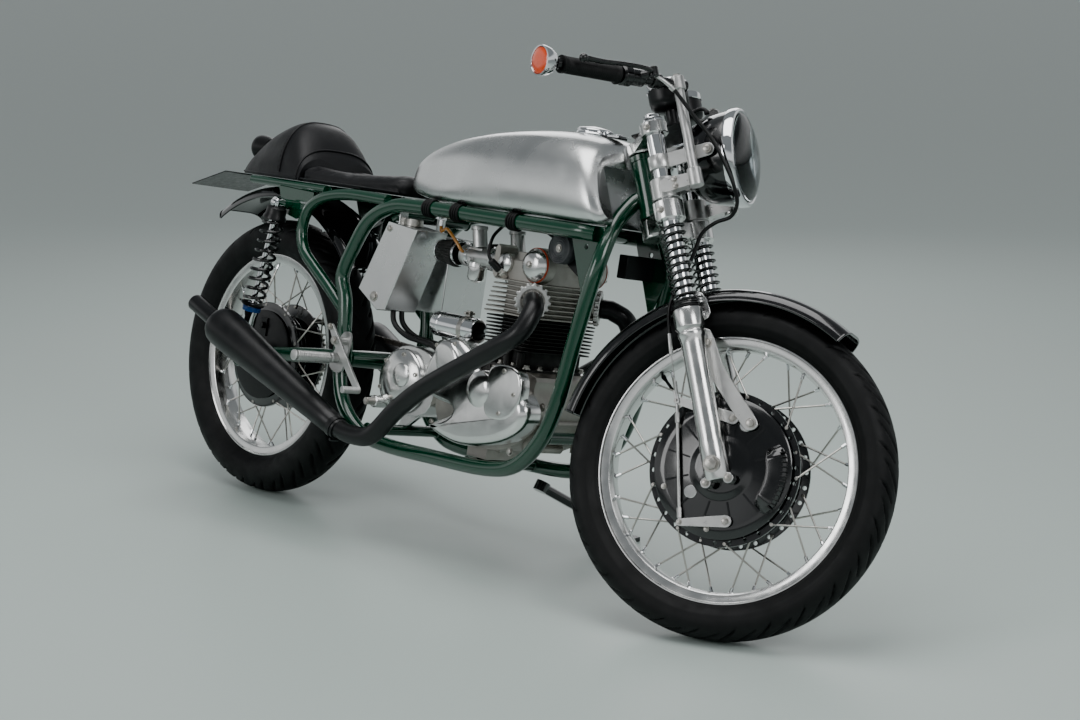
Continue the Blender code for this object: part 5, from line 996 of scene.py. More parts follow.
for name, side in sides:
    out = ports[side][2]
    cover = [(0.0345, 0), (0.0345, 0.003), (0.0325, 0.0055), (0.028, 0.012), (0.02, 0.0165), (0.01, 0.0185),
        (0, 0.019)]
    coverParts.append(lathe(cover, aimed((0.93, side * 0.0862, 0.646), (0.93, side * 1.0, 0.646)), 48))
    coverParts.append(lathe([(0.02, 0), (0.02, 0.003), (0.014, 0.007), (0, 0.009)],
        aimed((0.836, side * 0.0835, 0.64), (0.836, side, 0.64)), 36))
    gaskets.append(lathe([(0.02, 0), (0.0362, 0), (0.0362, 0.0018), (0.02, 0.0018)],
        aimed((0.93, side * 0.0845, 0.646), (0.93, side, 0.646)), 48, True))
    headBolts.append(bolt((0.93, side * 0.105, 0.646), (0, side, 0), 0.006, 0.005))
    for dx, dz in ((0.026, -0.014), (-0.026, -0.014), (0.0, 0.029)):
        headBolts.append(bolt((0.93 + dx, side * 0.0905, 0.646 + dz), (0, side, 0), 0.004, 0.005))
    place = aimed(ports[side][1] - out * 0.012, ports[side][1] + out)
    rosettes.append(lathe([(0.0215, 0), (0.0335, 0), (0.0345, 0.002), (0.0345, 0.009), (0.0325, 0.011),
        (0.0215, 0.011)], place, 96, True, (16, 0.045)))
    for k in range(16):
        angle = tau * k / 16
        rosettes.append(rod(place @ Vector((0.0345 * cos(angle), 0.0345 * sin(angle), 0.001)),
            place @ Vector((0.0345 * cos(angle), 0.0345 * sin(angle), 0.01)), 0.0034, 10))
for x, y in ((0.848, -0.062), (0.848, 0.062), (0.848, 0.0), (0.915, -0.03), (0.915, 0.03)):
    headBolts.append(bolt((x, y, 0.6495 if x < 0.9 else 0.668), (0, 0, 1), 0.0068, 0.008))
makePiece("rockerCovers", coverParts, "polishedAlloy", bevel=0.0005)
makePiece("rockerGaskets", gaskets, "gasketRed")
makePiece("portNuts", rosettes, "satinAlloy")
makePiece("headBolts", headBolts, "zincSteel")
plugParts, plugCaps = [], []
for name, side in sides:
    base, tip = Vector((0.838, side * 0.078, 0.612)), Vector((0.82, side * 0.112, 0.642))
    line = (tip - base).normalized()
    plugParts += [rod(base, base + line * 0.014, 0.0105, 6), rod(base + line * 0.012, base + line * 0.03, 0.006, 16)]
    elbow = base + line * 0.048
    plugCaps.append(rod(base + line * 0.02, elbow, 0.0088, 20, 0.0078, 0.002))
    lead = curveThrough([elbow - line * 0.003, elbow + Vector((-0.006, side * 0.002, 0.014)),
        Vector((0.806, side * 0.1, 0.69)), Vector((0.79, side * 0.06, 0.716)), Vector((0.77, side * 0.03, 0.728))],
        6)
    plugCaps.append(tube(lead, 0.0036, 10))
makePiece("sparkPlugs", plugParts, "zincSteel")
makePiece("plugCaps", plugCaps, "cableBlack")

# Timing cover: one smooth pear-shaped cover with a raised cap and plate, held by recessed screws
timingShares = ((0.1, 1.1), (0.00, 0.72), (0.1, 0.48), (0.36, 0.38), (0.13, 0.12), (0.42, -0.02), (0.8, 0.1),
    (1.03, 0.34), (1.06, 0.62), (0.88, 0.86), (0.58, 0.92), (0.46, 1.12), (0.27, 1.26))
timingOutline = smoothOutline([enginePlace(*share) for share in timingShares], 6)


def crowned(outline, start, mid, end, inset, steps=6):
    points = [Vector(p) for p in outline]
    count = len(points)
    area = sum(points[k - 1].x * points[k].y - points[k].x * points[k - 1].y for k in range(count))
    inward = []
    for k in range(count):
        line = (points[(k + 1) % count] - points[k - 1]).normalized()
        inward.append(Vector((-line.y, line.x)) * (1 if area > 0 else -1))
    for turn in range(3):
        inward = [(inward[k - 1] + inward[k] * 2 + inward[(k + 1) % count]) / 4 for k in range(count)]
    rows = [[Vector((p.x, start, p.y)) for p in points], [Vector((p.x, mid, p.y)) for p in points]]
    for k in range(1, steps + 1):
        angle = pi / 2 * k / steps
        y = mid + (end - mid) * sin(angle)
        moveIn = inset * (1 - cos(angle))
        rows.append([Vector((p.x + n.x * moveIn, y, p.y + n.y * moveIn)) for p, n in zip(points, inward)])
    return rings(rows)


timingParts = [crowned(timingOutline, -0.0853, -0.112, -0.134, 0.02)]
raised = ((0.905, 0.436), (0.958, 0.438), (0.9865, 0.415), (0.9865, 0.362), (0.958, 0.331), (0.905, 0.326),
    (0.886, 0.352), (0.886, 0.41))
timingParts.append(crowned(smoothOutline(raised, 3), -0.11, -0.13, -0.1358, 0.006, 4))
timingParts.append(lathe([(0.04, -0.02), (0.04, 0.004), (0.038, 0.008), (0.0345, 0.0095), (0.033, 0.0115),
    (0.022, 0.015), (0, 0.0162)], aimed((0.866, -0.1255, 0.378), (0.866, -1, 0.378)), 56))
timingParts.append(crowned(smoothOutline(((0.715, 0.44), (0.74, 0.462), (0.775, 0.455), (0.8, 0.42), (0.78, 0.385),
    (0.735, 0.392)), 4), -0.116, -0.13, -0.1405, 0.016))
makePiece("timingCover", timingParts, "polishedAlloy", replaces=["timing_cover"], bevel=0.0015)
timingScrews = []
for x, z, y in ((0.716, 0.448, 0.131), (0.771, 0.458, 0.132), (0.8, 0.3, 0.131), (0.724, 0.288, 0.125),
        (0.936, 0.427, 0.1352), (0.972, 0.384, 0.1352), (0.936, 0.34, 0.1352), (0.895, 0.3, 0.128),
        (0.706, 0.372, 0.126)):
    timingScrews.append(screw((x, -y, z), (0, -1, 0), 0.0048, 0.003))
makePiece("timingScrews", timingScrews, "zincSteel")

primaryOutline = []
for centre, radius, start in ((0.885, 0.082, -0.5), (0.585, 0.09, 0.5)):
    primaryOutline += [around(radius, pi * (start + k / 18), (centre, 0.35)) for k in range(19)]
primaryParts = [crowned(primaryOutline, 0.0853, 0.122, 0.1385, 0.018), lathe([(0.052, -0.01), (0.052, 0.002),
    (0.047, 0.004), (0.02, 0.0055), (0, 0.006)], aimed((0.585, 0.134, 0.35), (0.585, 1, 0.35)), 48),
    lathe([(0.02, -0.01), (0.02, 0.003), (0.017, 0.005), (0, 0.0055)], aimed((0.74, 0.134, 0.372), (0.74, 1, 0.372)),
    32), lathe([(0.044, -0.01), (0.044, 0.001), (0.038, 0.0035), (0, 0.0045)],
    aimed((0.885, 0.134, 0.35), (0.885, 1, 0.35)), 48)]
makePiece("primaryCase", primaryParts, "polishedAlloy", replaces=["primary_case"], bevel=0.0012)
primaryScrews = []
for k in range(0, len(primaryOutline), 3):
    x, z = primaryOutline[k]
    primaryScrews.append(screw((0.735 + (x - 0.735) * 0.955, 0.1305, 0.35 + (z - 0.35) * 0.88), (0, 1, 0), 0.0045))
makePiece("primaryScrews", primaryScrews, "zincSteel")

shellShares = ((-1.0, -0.55), (-0.55, -1.0), (0.5, -1.05), (1.0, -0.6), (1.0, 0.7), (0.4, 1.15), (-0.6, 0.95))
shell = [(0.585 + (0.0947 if a > 0 else 0.066) * a, 0.352 + 0.066 * u) for a, u in shellShares]
gearPieces = [slab(smoothOutline(shell, 4), -0.096, 0.052), lathe([(0.07, -0.006), (0.0705, 0.012), (0.068, 0.016),
    (0.0655, 0.0175), (0.052, 0.0255), (0.03, 0.029), (0, 0.0305)], aimed((0.585, -0.093, 0.352),
    (0.585, -1, 0.352)), 64), lathe([(0.026, 0), (0.026, 0.004), (0.023, 0.006), (0, 0.0075)],
    aimed((0.602, -0.119, 0.366), (0.602, -1, 0.366)), 36), rod((0.535, -0.1, 0.298), (0.535, -0.133, 0.298), 0.0135,
    28, edge=0.002), slab(((0.48, 0.24), (0.506, 0.24), (0.585, 0.3), (0.532, 0.352)), -0.006, 0.006)]
makePiece("gearCase", gearPieces, "polishedAlloy", replaces=["gearbox"], bevel=0.0014)
gearSteel = [rod((0.535, -0.13, 0.298), (0.535, -0.1525, 0.298), 0.008, 20),
    bolt((0.535, -0.1525, 0.298), (0, -1, 0), 0.006, 0.003), rod((0.585, 0.049, 0.36), (0.585, 0.076, 0.36), 0.012,
    20), bolt((0.585, 0.076, 0.36), (0, 1, 0), 0.011, 0.006)]
for k in range(6):
    angle = tau * (k + 0.35) / 6
    gearSteel.append(screw((0.585 + 0.059 * cos(angle), -0.1135, 0.352 + 0.059 * sin(angle)), (0, -1, 0), 0.005,
        0.004))
makePiece("gearScrews", gearSteel, "zincSteel")
frontTeeth = toothed(19, 0.0365, 0.0415, (0.585, 0.36))
makePiece("frontSprocket", [slab(frontTeeth, 0.0672, 0.0728)], "zincSteel", bevel=0.0004)
print("engine made")

# Carburettors with bowls, slide towers and pleated cone filters
for name, side in sides:
    y = side * 0.055
    back = aimed((0.7947, y, 0.642), (0.5, y, 0.642))
    body = [lathe([(0.024, 0), (0.024, 0.006), (0.0215, 0.008), (0.0215, 0.018), (0.0235, 0.02), (0.0235, 0.028),
        (0.0205, 0.03), (0.0205, 0.098), (0.024, 0.102), (0.024, 0.112), (0.022, 0.116)], back, 36),
        rod((0.722, y, 0.66), (0.711, y, 0.7005), 0.016, 32, 0.0155, 0.001),
        rod((0.7115, y, 0.698), (0.7103, y, 0.706), 0.018, 32), box((0.7, y - 0.015, 0.625),
        (0.744, y + 0.015, 0.66)), rod((0.722, y + side * 0.01, 0.634), (0.722, y + side * 0.029, 0.634), 0.0052,
        14), rod((0.7, y + side * 0.012, 0.648), (0.7, y + side * 0.027, 0.648), 0.0045, 14)]
    makePiece("carbBody" + name, body, "satinAlloy", replaces=["carburettor_" + name.lower()],
        bevel=0.001)
    bowl = [lathe([(0.0205, 0), (0.0212, -0.004), (0.0212, -0.01), (0.02, -0.011), (0.02, -0.032), (0.017, -0.038),
        (0.009, -0.0415), (0, -0.042)], shifted(0.722, y, 0.63), 36), rod((0.722, y, 0.5865), (0.722, y, 0.592),
        0.006, 6)]
    makePiece("carbBowl" + name, bowl, "polishedAlloy")
    clamps = []
    for share, radius in ((0.014, 0.023), (0.095, 0.0226), (0.136, 0.0262)):
        at = back @ Vector((0, 0, share))
        clamps.append(lathe([(radius - 0.002, -0.004), (radius, -0.0035), (radius, 0.0035), (radius - 0.002, 0.004)],
            back @ shifted(0, 0, share), 36, True))
        clamps.append(rod(at + Vector((0, side * 0.003, radius + 0.002)), at + Vector((0, side * 0.014,
            radius + 0.002)), 0.0028, 10))
    clamps.append(lathe([(0.0215, 0), (0.0245, 0.001), (0.0245, 0.006), (0.018, 0.0085), (0, 0.009)],
        aimed((0.6045, y, 0.642), (0.5, y, 0.642)), 36))
    makePiece("carbClamps" + name, clamps, "chrome", bevel=0.0004)
    makePiece("airFilter" + name, [lathe([(0.024, 0), (0.0285, 0.0015), (0.0295, 0.004), (0.0232, 0.05),
        (0.0215, 0.0525)], aimed((0.657, y, 0.642), (0.5, y, 0.642)), 160, flute=(32, 0.035))], "barrelBlack",
        angle=60)
hose = curveThrough([(0.604, -0.07, 0.694), (0.612, -0.074, 0.683), (0.645, -0.088, 0.69), (0.678, -0.092, 0.672),
    (0.698, -0.088, 0.652), (0.7, -0.083, 0.648)], 6)
makePiece("fuelHose", [tube(hose, 0.0036, 14)], "fuelHose")
makePiece("fuelTap", [rod((0.604, -0.07, 0.694), (0.604, -0.07, 0.7435), 0.0062, 18),
    rod((0.604, -0.07, 0.706), (0.604, -0.07, 0.718), 0.0095, 6), rod((0.604, -0.07, 0.712), (0.604, -0.088, 0.712),
    0.0045, 14), box((0.592, -0.0905, 0.7085), (0.616, -0.0865, 0.7155))], "chrome", bevel=0.0006)

# Dynamo and horn
dynamoPlace = aimed((0.625, -0.06, 0.487), (1, -0.06, 0.487))
makePiece("dynamoBody", [lathe([(0, 0.0), (0.02, 0.0), (0.0255, 0.003), (0.027, 0.007), (0.027, 0.026),
    (0.0262, 0.0268), (0.0262, 0.0292), (0.027, 0.03), (0.027, 0.128), (0.025, 0.136), (0.018, 0.14), (0, 0.14)],
    dynamoPlace, 48), box((0.731, -0.072, 0.4283), (0.751, -0.048, 0.48))], "chrome", replaces=["dynamo"],
    bevel=0.001)
strapRing = lathe([(0.0268, 0.092), (0.0285, 0.0925), (0.0285, 0.1045), (0.0268, 0.105)], dynamoPlace, 48, True)
makePiece("dynamoClamp", [strapRing, box((0.717, -0.0645, 0.5145), (0.729, -0.0555, 0.5265)),
    rod((0.723, -0.074, 0.521), (0.723, -0.046, 0.521), 0.0032, 12)], "zincSteel", bevel=0.0006)
hornPlace = aimed((1.004, -0.078, 0.688), (1.004, -1, 0.688))
makePiece("hornBody", [lathe([(0, -0.001), (0.03, -0.001), (0.031, 0.001), (0.031, 0.021), (0.0295, 0.0235),
    (0.0285, 0.0235), (0.0275, 0.0215), (0.0255, 0.0235), (0.0235, 0.0215), (0.0215, 0.0235), (0.0195, 0.0215),
    (0.0175, 0.0238), (0.0155, 0.022), (0.0125, 0.0242), (0.0095, 0.0225), (0, 0.0225)], hornPlace, 56)],
    "greyMoulding", replaces=["horn"], angle=50)
makePiece("hornBolt", [bolt((1.004, -0.1005, 0.688), (0, -1, 0), 0.0062, 0.0035)], "zincSteel")
makePiece("hornBracket", [box((0.992, -0.082, 0.688), (1.016, -0.074, 0.7152)),
    slab(((0.998, 0.664), (1.046, 0.636), (1.056, 0.69), (1.02, 0.714)), -0.077, -0.055)], "moulding", bevel=0.0012)

# Exhaust pipes with long tapered silencers
exhaust = {"radius": 0.0205, "length": 0.58, "rise": 20.6, "toe": 4.5, "silencer": 0.046,
    "route": ((0.000, 0.000, 0.000), (0.034, 0.03, -0.018), (0.032, 0.055, -0.062), (-0.01, 0.066, -0.096),
    (-0.105, 0.071, -0.152), (-0.215, 0.072, -0.217), (-0.29, 0.072, -0.275), (-0.338, 0.073, -0.325),
    (-0.372, 0.075, -0.346), (-0.425, 0.078, -0.349), (-0.468, 0.082, -0.342)),
    "shape": ((0.0, 0.49), (0.004, 0.52), (0.05, 0.53), (0.054, 0.55), (0.1, 0.57), (0.4, 0.775), (0.7, 0.975),
    (0.745, 0.995), (0.785, 0.995), (0.805, 0.95), (0.822, 0.84), (0.835, 0.66), (0.842, 0.45), (0.855, 0.42),
    (0.997, 0.42), (1.0, 0.4), (1.0, 0.36), (0.93, 0.35), (0.93, 0.0))}
for name, side in sides:
    out = ports[side][2]
    start = ports[side][1] + out * 0.0003
    straight = out * exhaust["radius"]
    route = [start + Vector((x, side * y, z)) for x, y, z in exhaust["route"]]
    line = [start] + curveThrough([start + straight] + [p + straight / 2 for p in route[1:]], 7)
    rise, toe = radians(exhaust["rise"]), radians(exhaust["toe"])
    along = Vector((-cos(rise) * cos(toe), side * cos(rise) * sin(toe), sin(rise)))
    back = route[-1] + straight / 2 - along * 0.012
    profile = [(exhaust["silencer"] * wide, exhaust["length"] * far) for far, wide in exhaust["shape"]]
    makePiece("exhaust" + name, [tube(line, exhaust["radius"], 32), lathe(profile, aimed(back, back + along), 64)],
        "pipeBlack", replaces=["exhaust_" + name.lower()], angle=32)
    clampPlace = aimed(back + along * 0.006, back + along)
    makePiece("exhaustClamp" + name, [lathe([(0.0212, 0), (0.0262, 0.0005), (0.0262, 0.0135), (0.0212, 0.014)],
        clampPlace, 40, True), rod(back + along * 0.013 + Vector((0, -side * 0.012, -0.028)),
        back + along * 0.013 + Vector((0, side * 0.012, -0.028)), 0.004, 12)], "pipeBlack")

# Oil tank and battery box behind the engine
oilShares = ((0.42, 1.0), (1.0, 0.95), (0.58, 0.02), (0.42, 0.0), (0.0, 0.2))
oilOutline = [(0.412 + 0.172 * x, 0.492 + 0.196 * z) for x, z in oilShares]
makePiece("oilTank", [slab(oilOutline, -0.118, -0.03), box((0.5027, -0.106, 0.676), (0.5067, -0.082, 0.7142))],
    "tankAlloy", replaces=["oil_tank"], bevel=0.012, segments=5)
makePiece("oilTankFittings", [rod((0.52, -0.075, 0.684), (0.52, -0.075, 0.699), 0.02, 36),
    bolt((0.47, -0.1175, 0.52), (0, -1, 0), 0.009, 0.006), bolt((0.492, -0.119, 0.672), (0, -1, 0), 0.0055, 0.004)],
    "zincSteel")
makePiece("batteryBox", [box((0.44, -0.01, 0.5), (0.575, 0.108, 0.67)), box((0.5027, 0.002, 0.658),
    (0.5067, 0.026, 0.7142))], "tankAlloy", replaces=["battery_box"], bevel=0.006, segments=4)
makePiece("batteryStrap", [box((0.498, 0.1078, 0.5), (0.518, 0.1092, 0.67))], "gripRubber")
oilLines = []
for y, z in ((-0.06, 0.505), (-0.085, 0.512)):
    oilLines.append(tube(curveThrough([(0.5, y, z), (0.512, y, 0.47), (0.56, y + 0.004, 0.446),
        (0.64, y + 0.004, 0.44), (0.69, y + 0.01, 0.415), (0.708, y + 0.012, 0.39)], 6), 0.006, 16))
makePiece("oilLines", oilLines, "cableBlack")

# Footrests, rear-set, with their foot levers
for name, side in sides:
    hanger = smoothOutline(((0.38, 0.35), (0.424, 0.346), (0.44, 0.424), (0.414, 0.43), (0.392, 0.392)), 4)
    parts = [slab(hanger, side * 0.1363, side * 0.1423), lathe([(0.0115, 0), (0.0115, 0.02), (0.0095, 0.022),
        (0.0095, 0.028)], aimed((0.402, side * 0.139, 0.372), (0.402, side, 0.372)), 28)]
    peg = [(0.0105, 0)]
    for k in range(18):
        peg += [(0.0115, 0.001 + 0.0048 * k), (0.0115, 0.0036 + 0.0048 * k), (0.0104, 0.0044 + 0.0048 * k)]
    peg += [(0.012, 0.09), (0.012, 0.0945), (0.008, 0.096)]
    parts.append(lathe(peg, aimed((0.402, side * 0.166, 0.372), (0.402, side, 0.372)), 28))
    parts.append(rod((0.422, side * 0.1365, 0.412), (0.422, side * 0.1723, 0.412), 0.0088, 24))
    parts.append(slab(link((0.422, 0.412), (0.517, 0.317), 0.0105, 0.0075), side * 0.161, side * 0.167))
    parts.append(slab(link((0.422, 0.412), (0.398, 0.44), 0.01, 0.0065), side * 0.161, side * 0.167))
    lug = [(0.006, 0)]
    for k in range(8):
        lug += [(0.0078, 0.001 + 0.0055 * k), (0.0078, 0.0042 + 0.0055 * k), (0.0068, 0.005 + 0.0055 * k)]
    parts.append(lathe(lug, aimed((0.517, side * 0.164, 0.317), (0.517, side, 0.317)), 20))
    makePiece("footrest" + name, parts, "satinAlloy", replaces=["footrest_" + name.lower()],
        bevel=0.0012)
    rodEnd = Vector((0.398, side * 0.169, 0.44))
    linkParts = [bolt((0.422, side * 0.1725, 0.412), (0, side, 0), 0.007), bolt(rodEnd, (0, side, 0), 0.0055),
        bolt((0.402, side * 0.1423, 0.372), (0, side, 0), 0.0052, 0.004)]
    makePiece("footrestBolts" + name, linkParts, "zincSteel")

# Chain: real links along the band round both sprockets
chain = {"pitch": 0.015875, "rear": 0.0915, "front": 0.0385, "y": 0.07}
lead = Vector((0.585, 0.36)) - Vector((0, rearRadius))
tilt = math.atan2(lead.y, lead.x)
openAngle = math.acos((chain["rear"] - chain["front"]) / lead.length)
chainLine = []
for centre, radius, start, end in (((0, rearRadius), chain["rear"] + 0.0035, tilt + openAngle,
        tilt + tau - openAngle), ((0.585, 0.36), chain["front"] + 0.0035, tilt - openAngle, tilt + openAngle)):
    chainLine += [around(radius, start + (end - start) * k / 48, centre) for k in range(49)]
chainLine.append(chainLine[0])
chainRun = np.concatenate([[0], np.cumsum([math.dist(a, b) for a, b in zip(chainLine, chainLine[1:])])])
linkCount = int(round(chainRun[-1] / chain["pitch"] / 2)) * 2
pins = [(float(np.interp(s, chainRun, [p[0] for p in chainLine])), float(np.interp(s, chainRun,
    [p[1] for p in chainLine]))) for s in np.linspace(0, chainRun[-1], linkCount, endpoint=False)]
linkParts = []
for k, pin in enumerate(pins):
    after = pins[(k + 1) % linkCount]
    reach = 0.0066 if k % 2 else 0.005
    for side in (-1, 1):
        y = chain["y"] + side * reach
        linkParts.append(slab(link(pin, after, 0.0056, 0.0056, 4), y - 0.0007, y + 0.0007))
    linkParts.append(rod((pin[0], chain["y"] - 0.0058, pin[1]), (pin[0], chain["y"] + 0.0058, pin[1]), 0.0046, 10))
makePiece("driveChain", linkParts, "chainSteel", replaces=["drive_chain"])
print("chain made")

# Rear mudguard, number plate and tail lamp
def guardPiece(name, centre, radius, start, end, half, body, node, steps=56):
    shape = [(p.x, p.y) for p in curveThrough([(0.0, 0.0, 0), (0.5, 0.02, 0), (0.8, 0.22, 0), (0.95, 0.6, 0),
        (1.0, 1.0, 0)], 4)]
    outer = [(-0.026 * fall, half * y) for y, fall in shape]
    outer = [(r, -y) for r, y in outer[:0:-1]] + outer
    inner = [(r - 0.0022, y * (half - 0.0022) / half) for r, y in outer]
    section = outer + inner[::-1]
    rows = []
    for k in range(steps + 1):
        angle = start + (end - start) * k / steps
        rows.append([Vector((centre[0] + (radius + r) * cos(angle), y, centre[1] + (radius + r) * sin(angle))) for r,
            y in section])
    beads = []
    for side in (-1, 1):
        beads.append(tube([Vector((centre[0] + (radius - 0.0272) * cos(start + (end - start) * k / steps),
            side * (half - 0.001),
            centre[1] + (radius - 0.0272) * sin(start + (end - start) * k / steps))) for k in range(steps + 1)],
            0.0026, 8))
    for angle in (start, end):
        beads.append(tube([Vector((centre[0] + (radius + r - 0.001) * cos(angle), y,
            centre[1] + (radius + r - 0.001) * sin(angle))) for r, y in outer], 0.0026, 8))
    makePiece(name, [rings(rows)] + beads, "blackEnamel", body, replaces=[node], angle=40)


rearGuardRadius = math.hypot(-0.05, seatBottom - 0.0103 - rearRadius) - 0.009 - 0.0003
guardPiece("rearMudguard", (0, rearRadius), rearGuardRadius, radians(38), radians(126), 0.066, "chassis",
    "rear_mudguard")
plateZ = seatBottom - 0.0003
makePiece("numberPlate", [slab(((-0.15, plateZ), (-0.2, plateZ), (-0.335, 0.702), (-0.335, 0.699),
    (-0.2, plateZ - 0.003), (-0.15, plateZ - 0.003)), -0.085, 0.085)], "moulding", replaces=["number_plate"],
    bevel=0.001)
tailPlace = aimed((-0.148, 0, 0.812), (-1, 0, 0.812))
makePiece("tailLamp", [lathe([(0, -0.01), (0.024, -0.01), (0.0275, 0.004), (0.03, 0.026), (0.03, 0.036),
    (0.0285, 0.0385), (0.0265, 0.0375)], tailPlace, 48)], "moulding", replaces=["tail_lamp"])
makePiece("tailLens", [lathe([(0.0265, 0.036), (0.0262, 0.041), (0.021, 0.0445), (0, 0.0455)], tailPlace, 48)],
    "redLens")
print("tail made")

# Fork: chromed tubes with open black springs, polished sliders and both yokes
def leg(side, up, x=0, y=0):
    return Vector((x, side * (0.0935 + y), up))


for name, side in sides:
    low, high = leg(side, 0), leg(side, 1)
    base = aimed(low, high)
    slider = [(0.019, -0.03), (0.0232, -0.0292), (0.0245, -0.027), (0.0245, 0.04), (0.0232, 0.052), (0.0232, 0.236),
        (0.0245, 0.246), (0.0262, 0.25), (0.0262, 0.2565), (0.025, 0.258), (0.025, 0.2615), (0.0285, 0.266),
        (0.029, 0.2685), (0.029, 0.299), (0.0275, 0.3035), (0.0215, 0.305)]
    lugs = [lathe(slider, base, 48)]
    for x in (-0.022, 0.022):
        lugs.append(rod(leg(side, -0.03, x, -0.01225), leg(side, -0.03, x, 0.01225), 0.01, 24))
    lugs.append(rod(leg(side, 0, 0, 0.0205), leg(side, 0, 0, 0.0262), 0.0165, 32))
    makePiece("forkSlider" + name, lugs, "polishedAlloy", "steering", replaces=["fork_slider_" + name.lower()],
        bevel=0.001)
    makePiece("forkBolts" + name, [bolt(leg(side, -0.03, x, 0.01225), (0, side, 0), 0.0058, 0.005) for x in (-0.022,
        0.022)], "zincSteel", "steering")
    makePiece("forkTube" + name, [rod(leg(side, 0.3), leg(side, 0.6815), 0.0176, 40),
        lathe([(0.0205, 0.6823), (0.021, 0.6835), (0.021, 0.6905), (0.0185, 0.693)], base, 6),
        lathe([(0.016, 0.69), (0.016, 0.6985), (0.014, 0.7), (0.006, 0.7)], base, 32)], "chrome", "steering",
        replaces=["fork_tube_" + name.lower()], bevel=0.0005)
    makePiece("forkSpring" + name, [coil(leg(side, 0.3105), leg(side, 0.478), 0.0236, 0.0022, 11, 24),
        coil(leg(side, 0.31), leg(side, 0.324), 0.0236, 0.0022, 3, 24)], "springBlack", "steering")
    makePiece("forkSeal" + name, [lathe([(0.018, 0.3045), (0.0255, 0.305), (0.0262, 0.3065), (0.024, 0.3105),
        (0.0185, 0.3115)], base, 40)], "gripRubber", "steering")
lowerParts = [lathe([(0.028, 0.4822), (0.03, 0.484), (0.03, 0.518), (0.028, 0.52)], shifted(-forkOffset, 0, 0), 40)]
upperParts = [lathe([(0.028, 0.6582), (0.03, 0.66), (0.03, 0.68), (0.028, 0.682)], shifted(-forkOffset, 0, 0), 40)]
for name, side in sides:
    base = shifted(0, side * 0.0935, 0)
    lowerParts.append(lathe([(0.0185, 0.4822), (0.0285, 0.4822), (0.03, 0.4838), (0.03, 0.5183), (0.0285, 0.52),
        (0.0185, 0.52)], base, 48, True))
    upperParts.append(lathe([(0.0185, 0.6582), (0.0255, 0.6582), (0.027, 0.6597), (0.027, 0.6805), (0.0255, 0.682),
        (0.0185, 0.682)], base, 48, True))
    arm = ((-forkOffset - 0.024, side * 0.006), (-0.01, side * 0.112), (0.018, side * 0.106), (0.0, side * 0.066),
        (-forkOffset + 0.028, side * 0.002))
    lowerParts.append(prism(arm[:2] + ((0.012, side * 0.108),) + arm[3:], 0.486, 0.5165))
    upperParts.append(prism(arm[:2] + ((0.012, side * 0.108),) + arm[3:], 0.661, 0.679))
bores = [rod(leg(side, 0.2), leg(side, 0.9), 0.0184, 32) for name, side in sides]
makePiece("lowerYoke", lowerParts, "polishedAlloy", "steering", replaces=["lower_yoke"], bevel=0.002, cut=bores)
makePiece("topYoke", upperParts, "polishedAlloy", "steering", replaces=["top_yoke"], bevel=0.002, cut=bores)
yokeBolts = [bolt((-forkOffset, 0, 0.6824), (0, 0, 1), 0.014, 0.0085)]
for name, side in sides:
    yokeBolts.append(bolt(leg(side, 0.501, -0.008, 0.03), (0, side, 0), 0.0058, 0.005))
    yokeBolts.append(bolt(leg(side, 0.67, -0.006, 0.027), (0, side, 0), 0.0052, 0.005))
makePiece("yokeBolts", yokeBolts, "zincSteel", "steering")
axlePieces = [rod(leg(-1, 0, 0, 0.026), leg(1, 0, 0, 0.026), 0.009, 28)]
for name, side in sides:
    axlePieces.append(bolt(leg(side, 0, 0, 0.0262), (0, side, 0), 0.0125, 0.009))
makePiece("frontAxle", axlePieces, "zincSteel", "steering", replaces=["front_axle"])
print("fork made")

# Front mudguard with its alloy feet
guardPiece("frontMudguard", (0, 0), 0.348, radians(60) - rake, radians(173) - rake, 0.058, "steering",
    "front_mudguard")
footParts = []
for name, side in sides:
    inner = 0.0935 - 0.029 - 0.0003
    foot = smoothOutline(((-0.03, 0.286), (0.03, 0.286), (0.034, 0.318), (0.02, 0.342), (-0.02, 0.342),
        (-0.034, 0.318)), 3)
    footParts.append(slab(foot, side * inner, side * (inner - 0.0065)))
    for x in (-0.018, 0.018):
        footParts.append(bolt((x, side * (inner + 0.0005), 0.296), (0, side, 0), 0.0052, 0.004))
makePiece("guardFeet", footParts, "polishedAlloy", "steering", bevel=0.001)

# Brake plate with its scoop, cam levers, pull rod and torque arm
brakePlace = forkPlace @ Matrix.Rotation(rake, 4, "Y")
outward = Matrix.Rotation(pi / 2, 4, "X")
plateProfile = [(0.0095, 0.0), (0.1335, 0.0), (0.135, 0.0015), (0.135, 0.0052), (0.1325, 0.0072), (0.127, 0.0078),
    (0.124, 0.0098), (0.112, 0.0108), (0.065, 0.0112), (0.06, 0.0122), (0.052, 0.0165), (0.045, 0.0178),
    (0.03, 0.0182), (0.0225, 0.0205), (0.0215, 0.0228), (0.0095, 0.023)]
plateParts = [lathe(plateProfile, shifted(0, -0.0452, 0) @ outward, 96, True)]
for k in range(12):
    angle = tau * k / 12 + 0.1
    plateParts.append(box((0.066, -0.058, -0.0016), (0.11, -0.054, 0.0016), Matrix.Rotation(angle, 4, "Y")))
scoop = {"radius": 0.1075, "half": 0.0205, "from": -34, "to": 34, "rise": 0.017, "slots": 13}
rows = []
for k in range(29):
    share = k / 28
    angle = radians(scoop["from"] + (scoop["to"] - scoop["from"]) * share)
    swellShare = min(1, sin(pi * share) * 1.9) ** 0.6
    row = []
    for r, rise in ((-1, 0), (-0.92, 0.55), (-0.7, 0.9), (0, 1), (0.75, 0.95), (1.0, 0.6), (1.0, 0)):
        reach = scoop["radius"] + scoop["half"] * r * (0.55 + 0.45 * swellShare)
        row.append(Vector((reach * cos(angle), -0.054 - 0.002 - scoop["rise"] * rise * swellShare,
            reach * sin(angle))))
    rows.append(row)
plateParts.append(rings(rows))
